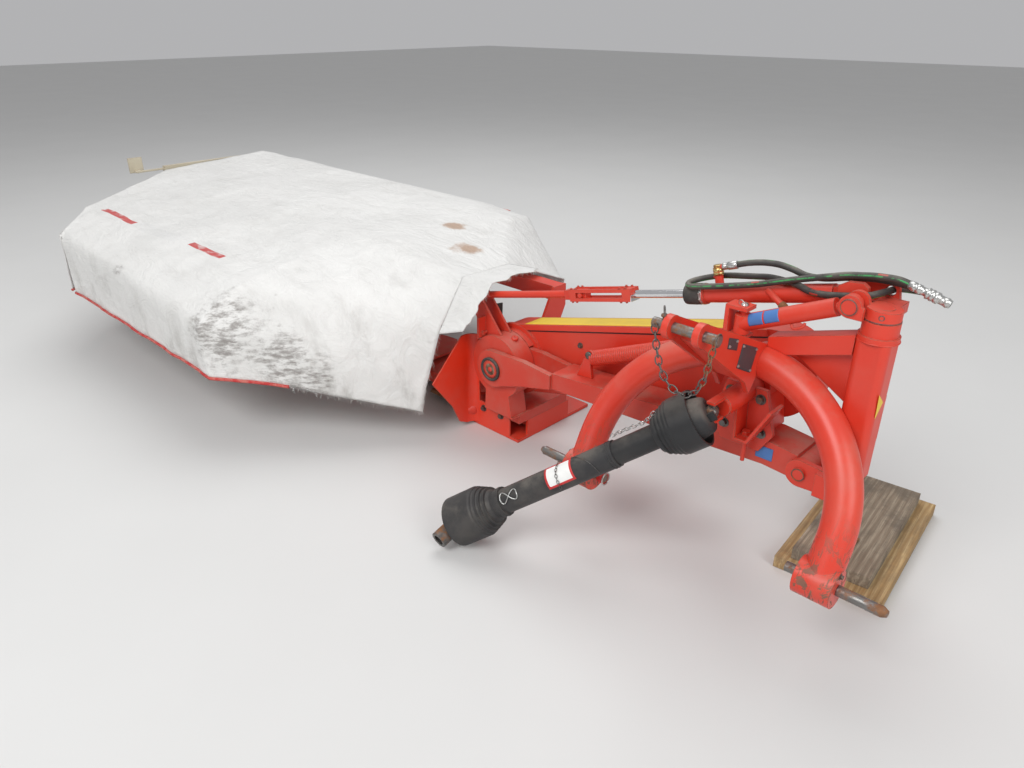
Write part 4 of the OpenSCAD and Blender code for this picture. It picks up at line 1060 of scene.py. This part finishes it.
ring("strutPinRing", "headstock", at(-34, 262, 812), (0.3, 0.9, 0.35), 0.012, 0.0015, zincSteel)
clipWay = [at(105, 262, 793), at(112, 256, 786), at(124, 256, 789), at(136, 258, 797), at(138, 262, 806)]
tube("strutClip", "strut", redWorn, smoothPath(clipWay), 0.0036, 10)
ring("lynchRing", "headstock", at(-60, -64, 868), (0.8, 0.6, 0.1), 0.0165, 0.0022, darkSteel)
turned("lynchPin", "headstock", darkSteel, at(-60, -64, 819), upright,
       [(0, 3), (2, 4.2), (40, 4.2), (41, 8), (46, 8), (48, 5)], 20)
mastChainWay = [(-72, -82, 832), (-62, -84, 790), (-46, -84, 740), (-18, -84, 704), (16, -84, 692),
                (48, -84, 706), (70, -84, 745), (80, -84, 795), (84, -80, 834)]
chain("mastChain", "headstock", [at(*p) for p in mastChainWay], 0.0185, 0.0036, darkSteel)
ring("mastPinEye", "headstock", at(84, -64, 840), (1, 0, 0), 0.0145, 0.0024, darkSteel)
turned("redPinCap", "headstock", redCap, at(-306, 50, 260), (1, 0, 0),
       [(0, 12), (3, 16.5), (20, 17.5), (22.5, 17.5), (22.6, 15.8)], 30)
ring("capRing", "headstock", at(-281, 50, 260), (1, 0, 0), 0.018, 0.0022, zincSteel)
bolts("eyePins", "headstock", [(-1, 0, 0), (1, 0, 0)], [(-412.9, 50, 300), (412.9, 50, 300)], 0.012)
print("stage: headstock details")

# Lift cylinder: base and end in hitch millimetres, places along it in metres from its base
cylinder = {"base": (205, 360, 875), "end": (-1130, 360, 547), "sleeveAt": 0.4215, "clampAt": 0.4135,
            "screwAt": 0.4174, "portAt": 0.367, "nubsAt": (0.684, 0.706, 0.886, 0.904), "nubSide": 18}
cylinderWay = (at(*cylinder["end"]) - at(*cylinder["base"])).normalized()
cylinderUp = Vector((cylinderWay.z, 0, -cylinderWay.x))


def onCylinder(along, up=0.0, side=0.0):
    return at(*cylinder["base"]) + cylinderWay * along + Vector(front) * side + cylinderUp * up


turned("glandSleeve", "barrel", blackRubber, onCylinder(cylinder["sleeveAt"]), cylinderWay,
       [(0, 28.4), (1, 30.6), (20, 31.1), (46, 30.6), (51, 29.8), (51.5, 28.4)], 44)
turned("glandClamp", "barrel", zincSteel, onCylinder(cylinder["clampAt"]), cylinderWay,
       [(0, 29.8), (0.4, 30.9), (7.4, 30.9), (7.8, 29.8)], 44)
turned("clampScrew", "barrel", zincSteel, onCylinder(cylinder["screwAt"], -0.011, 0.031), cylinderUp,
       [(0, 3.4), (1, 4.2), (4, 4.2), (4.2, 2.6), (18, 2.6), (18.2, 4.2), (22, 4.2)], 6, False)
turned("banjoBody", "barrel", brassFitting, onCylinder(cylinder["portAt"], 0.0528), cylinderUp,
       [(0, 11.5), (0.6, 14.6), (8, 14.9), (10.5, 13.8), (13, 14.9), (20.5, 14.6), (21.5, 12.5)], 36)
turned("banjoBolt", "barrel", brassFitting, onCylinder(cylinder["portAt"], 0.0740), cylinderUp,
       [(0, 11.8), (1, 12.4), (7.5, 12.4), (8.8, 11)], 6, False)
nippleWay = at(-113.5, 360, 879.5) - at(-160, 360, 863)
turned("hoseNipple", "barrel", zincSteel, at(-160, 360, 863) + nippleWay * 0.12, nippleWay,
       [(0, 8.2), (1, 9.8), (11, 9.8), (11.5, 8.4), (17, 8.4), (17.5, 11.2), (26, 11.6), (44, 11.2),
        (46, 9.8)], 28)
pipeStart, pipeWay = at(-6, 337, 838), Vector((0.07, -0.028, -0.028))
turned("portPipe", "barrel", redPaint, pipeStart, pipeWay,
       [(0, 7.2), (2, 8.4), (58, 8.4), (60, 7.6)], 24)
turned("portPlug", "barrel", rustSteel, pipeStart + pipeWay.normalized() * 0.0595, pipeWay,
       [(0, 7.6), (1, 10.5), (12, 11.2), (18, 9.6), (22.5, 4)], 28)
for label, lift in (("clevisNubsTop", 1), ("clevisNubsBottom", -1)):
    places = []
    for along in cylinder["nubsAt"]:
        x, y, z = fromHitch(onCylinder(along, lift * 0.0204))
        places += [(x, y - cylinder["nubSide"], z), (x, y + cylinder["nubSide"], z)]
    bolts(label, "rod", cylinderUp * lift, places, 0.0075, redPaint)
print("stage: cylinder details")

# Arm, belt guard and hub
hub = {"x": -1005, "z": 305}
guard = {"turn": math.atan2(260, 1005), "start": -12, "end": 1040, "lid": 0.0042, "shadowStrip": 0.001}


def onGuard(u, v, y):  # u along the belt guard, v across it
    c, s = math.cos(guard["turn"]), math.sin(guard["turn"])
    return (hub["x"] + u * c - v * s, y, hub["z"] + u * s + v * c)


def atHub(y):
    return at(hub["x"], y, hub["z"])


def guardStrip(low, high, y):
    corners = ((guard["start"], low), (guard["start"], high), (guard["end"], high), (guard["end"], low))
    return [at(*onGuard(u, v, y)) for u, v in corners]


yellowEdge = [onGuard(u, 132.5, y) for u, y in ((66, 437), (1028, 437), (1028, 531), (66, 531))]
flatSkin("guardYellowStrip", "arm", yellowFilm, yellowEdge, columns=90, rows=8)
plate("guardLid", "arm", redPaint, guardStrip(112, 133, 428), -guard["lid"], 0.0012)
# painted shadow: a thin black strip just under the lid's edge stands for the shade in the gap beneath the
# lid
plate("guardLidShadowStrip", "arm", blackRubber, guardStrip(106.5, 112, 431.2), -guard["shadowStrip"])
bolts("guardBolts", "arm", front, [onGuard(u, 60, 431) for u in (330, 620, 900)], 0.015)
turned("hubRing", "arm", blackRubber, atHub(290.5), front,
       [(0, 38.5), (0.4, 45.5), (8.5, 45.8), (11, 44), (11.2, 39.5), (8.4, 37.5), (6.8, 35)], 56)
turned("hubDisc", "arm", redWorn, atHub(284.2), front,
       [(0, 35.2), (1.2, 35.2), (1.4, 24), (0.6, 22.5), (0.6, 10), (2.2, 8.5)], 48)
inputPlaces = [(-44, 552), (46, 552), (-52, 446), (60, 452), (0, 420)]
bolts("inputBolts", "arm", front, [(x, 285.6, z) for x, z in inputPlaces], 0.021)
turned("inputCup", "drive_rear", blackRubber, at(0, 100, 565), (-0.7326, -0.3697, -0.5712),
       [(4, 30), (5, 46), (12, 50), (40, 56), (52, 58), (53, 54), (12, 44)], 44)
turned("springEye", "arm", darkSteel, at(-596, 343, 466), across,
       [(0, 10), (1, 13.5), (4, 13.5), (4.5, 8.5), (17, 8.5), (18, 6)], 24)
ring("springHook", "arm", at(-588, 351, 466), (0.3, 1, 0.1), 0.0165, 0.0042, redWorn)
for k, (x, z) in enumerate(((-1106, 440), (-1094, 470))):
    corners = [at(x, 398, z - 62), at(x, 436, z - 62), at(x, 440, z + 34), at(x, 402, z + 40)]
    plate("rubberFlap%d" % k, "cutter_bar", blackRubber, corners, 0.004, 0.0014)
nubWay = Vector((math.sin(0.42), 0, math.cos(0.42)))  # leans outwards from the hub
turned("coverNub", "cutter_bar", redPaint, atHub(364) + nubWay * 0.120, nubWay,
       [(0, 13), (10, 12.5), (11.5, 8.5), (11.7, 4.5), (6, 4)], 24)
gearboxPlaces = [(-1058, 128), (-945, 128), (-1040, 240), (-968, 240)]
bolts("gearboxBolts", "cutter_bar", front, [(x, 341, z) for x, z in gearboxPlaces], 0.020)
bolts("shoeBolts", "cutter_bar", front, [(x, 344.6, 84) for x in (-1209, -1105, -1010)])
turned("shoeKnob", "cutter_bar", redPaint, at(-1172, 345.5, 60), front,
       [(0, 30), (6, 29.5), (16, 24), (22, 17.5), (23.5, 16.5), (30, 15), (32, 11), (32.5, 5)], 36)
print("stage: arm and hub details")

# Drive shaft
shaftStart = at(0, 108, 565)
shaftWay = (at(-640, -215, 66) - shaftStart).normalized()
tubeRibs = [(0.300, 0.0393), (0.308, 0.0393), (0.690, 0.0452), (0.706, 0.0452), (0.722, 0.0452)]


def onShaft(places):  # each place: metres along, degrees from the side that is seen, radius
    return [onTube(shaftStart, shaftWay, *place) for place in places]


roundSkin("tubeLabel", "drive_front", whiteFilm, shaftStart, shaftWay, 0.0396, (0.420, 0.512), (-34, 74),
          border=0.09, columns=20, rows=24)
labelChainWay = [(0.462, 82, 0.0425), (0.464, 55, 0.0430), (0.470, 25, 0.0430), (0.474, -5, 0.0430),
                 (0.478, -40, 0.0428)]
chain("labelChain", "drive_front", onShaft(labelChainWay), 0.0085, 0.0016, darkSteel)
collarChainWay = [(0.136, 60, 0.066), (0.152, 62, 0.058), (0.176, 70, 0.0495), (0.212, 78, 0.0490),
                  (0.250, 90, 0.0495), (0.284, 100, 0.0500)]
chain("collarChain", "drive_rear", onShaft(collarChainWay), 0.0125, 0.0024, zincSteel)
eightWay = onShaft([(0.645 + 0.029 * math.cos(a), 12 + 22 * math.sin(2 * a), 0.0424 + 0.0022 * math.cos(a))
                    for a in around(48)])
tube("figureEight", "drive_front", zincSteel, eightWay, 0.0017, 8, True)
wireWay = onShaft([(0.418, 70, 0.0405), (0.392, 48, 0.0405), (0.366, 15, 0.0410), (0.352, -20, 0.0415),
                   (0.350, -50, 0.0425)])
tube("thinWire", "drive_front", darkSteel, smoothPath(wireWay), 0.0008, 6)
for k, (along, radius) in enumerate(tubeRibs):
    ring("tubeRib%d" % k, "drive_front", shaftStart + shaftWay * along, shaftWay, radius, 0.0012,
         guardPlastic, 44)
print("stage: shaft details")

# Far end and underside
discs = {"count": 6, "first": -1335, "spacing": 370, "y": 520, "top": 134.4, "boltCircle": 38}
bolts("railBolts", "cutter_bar", (-1, 0, 0), [(-3923.5, y, 700) for y in (232, 270)], 0.012)
for k in range(discs["count"]):
    middle = Vector((discs["first"] - k * discs["spacing"], discs["y"], discs["top"]))
    places = [middle + Vector((math.cos(a), math.sin(a), 0)) * discs["boltCircle"]
              for a in (math.pi / 4, 3 * math.pi / 4, 5 * math.pi / 4, 7 * math.pi / 4)]
    bolts("discBolts%d" % (k + 1), "rotor_%d" % (k + 1), upright, places, 0.017)
bolts("outerShoeBolts", "cutter_bar", (-1, 0, 0), [(-3429.4, y, 120) for y in (450, 590, 730)])
print("stage: far end details")


def makeFloor(size=26, level=-0.001):
    corners = [(-size, -size, level), (size, -size, level), (size, size, level), (-size, size, level)]
    floor = bareMesh("paleFloor", corners, faces=[(0, 1, 2, 3)])
    material, tree, finish, place = newMaterial("paleFloor")
    feed(tree, finish["Base Color"],
         mixColour(tree, noiseAt(tree, place, 1.5, 3.0), (0.62, 0.62, 0.61), (0.66, 0.66, 0.65)))
    finish["Roughness"].default_value = 0.85
    floor.data.materials.append(material)


makeFloor()
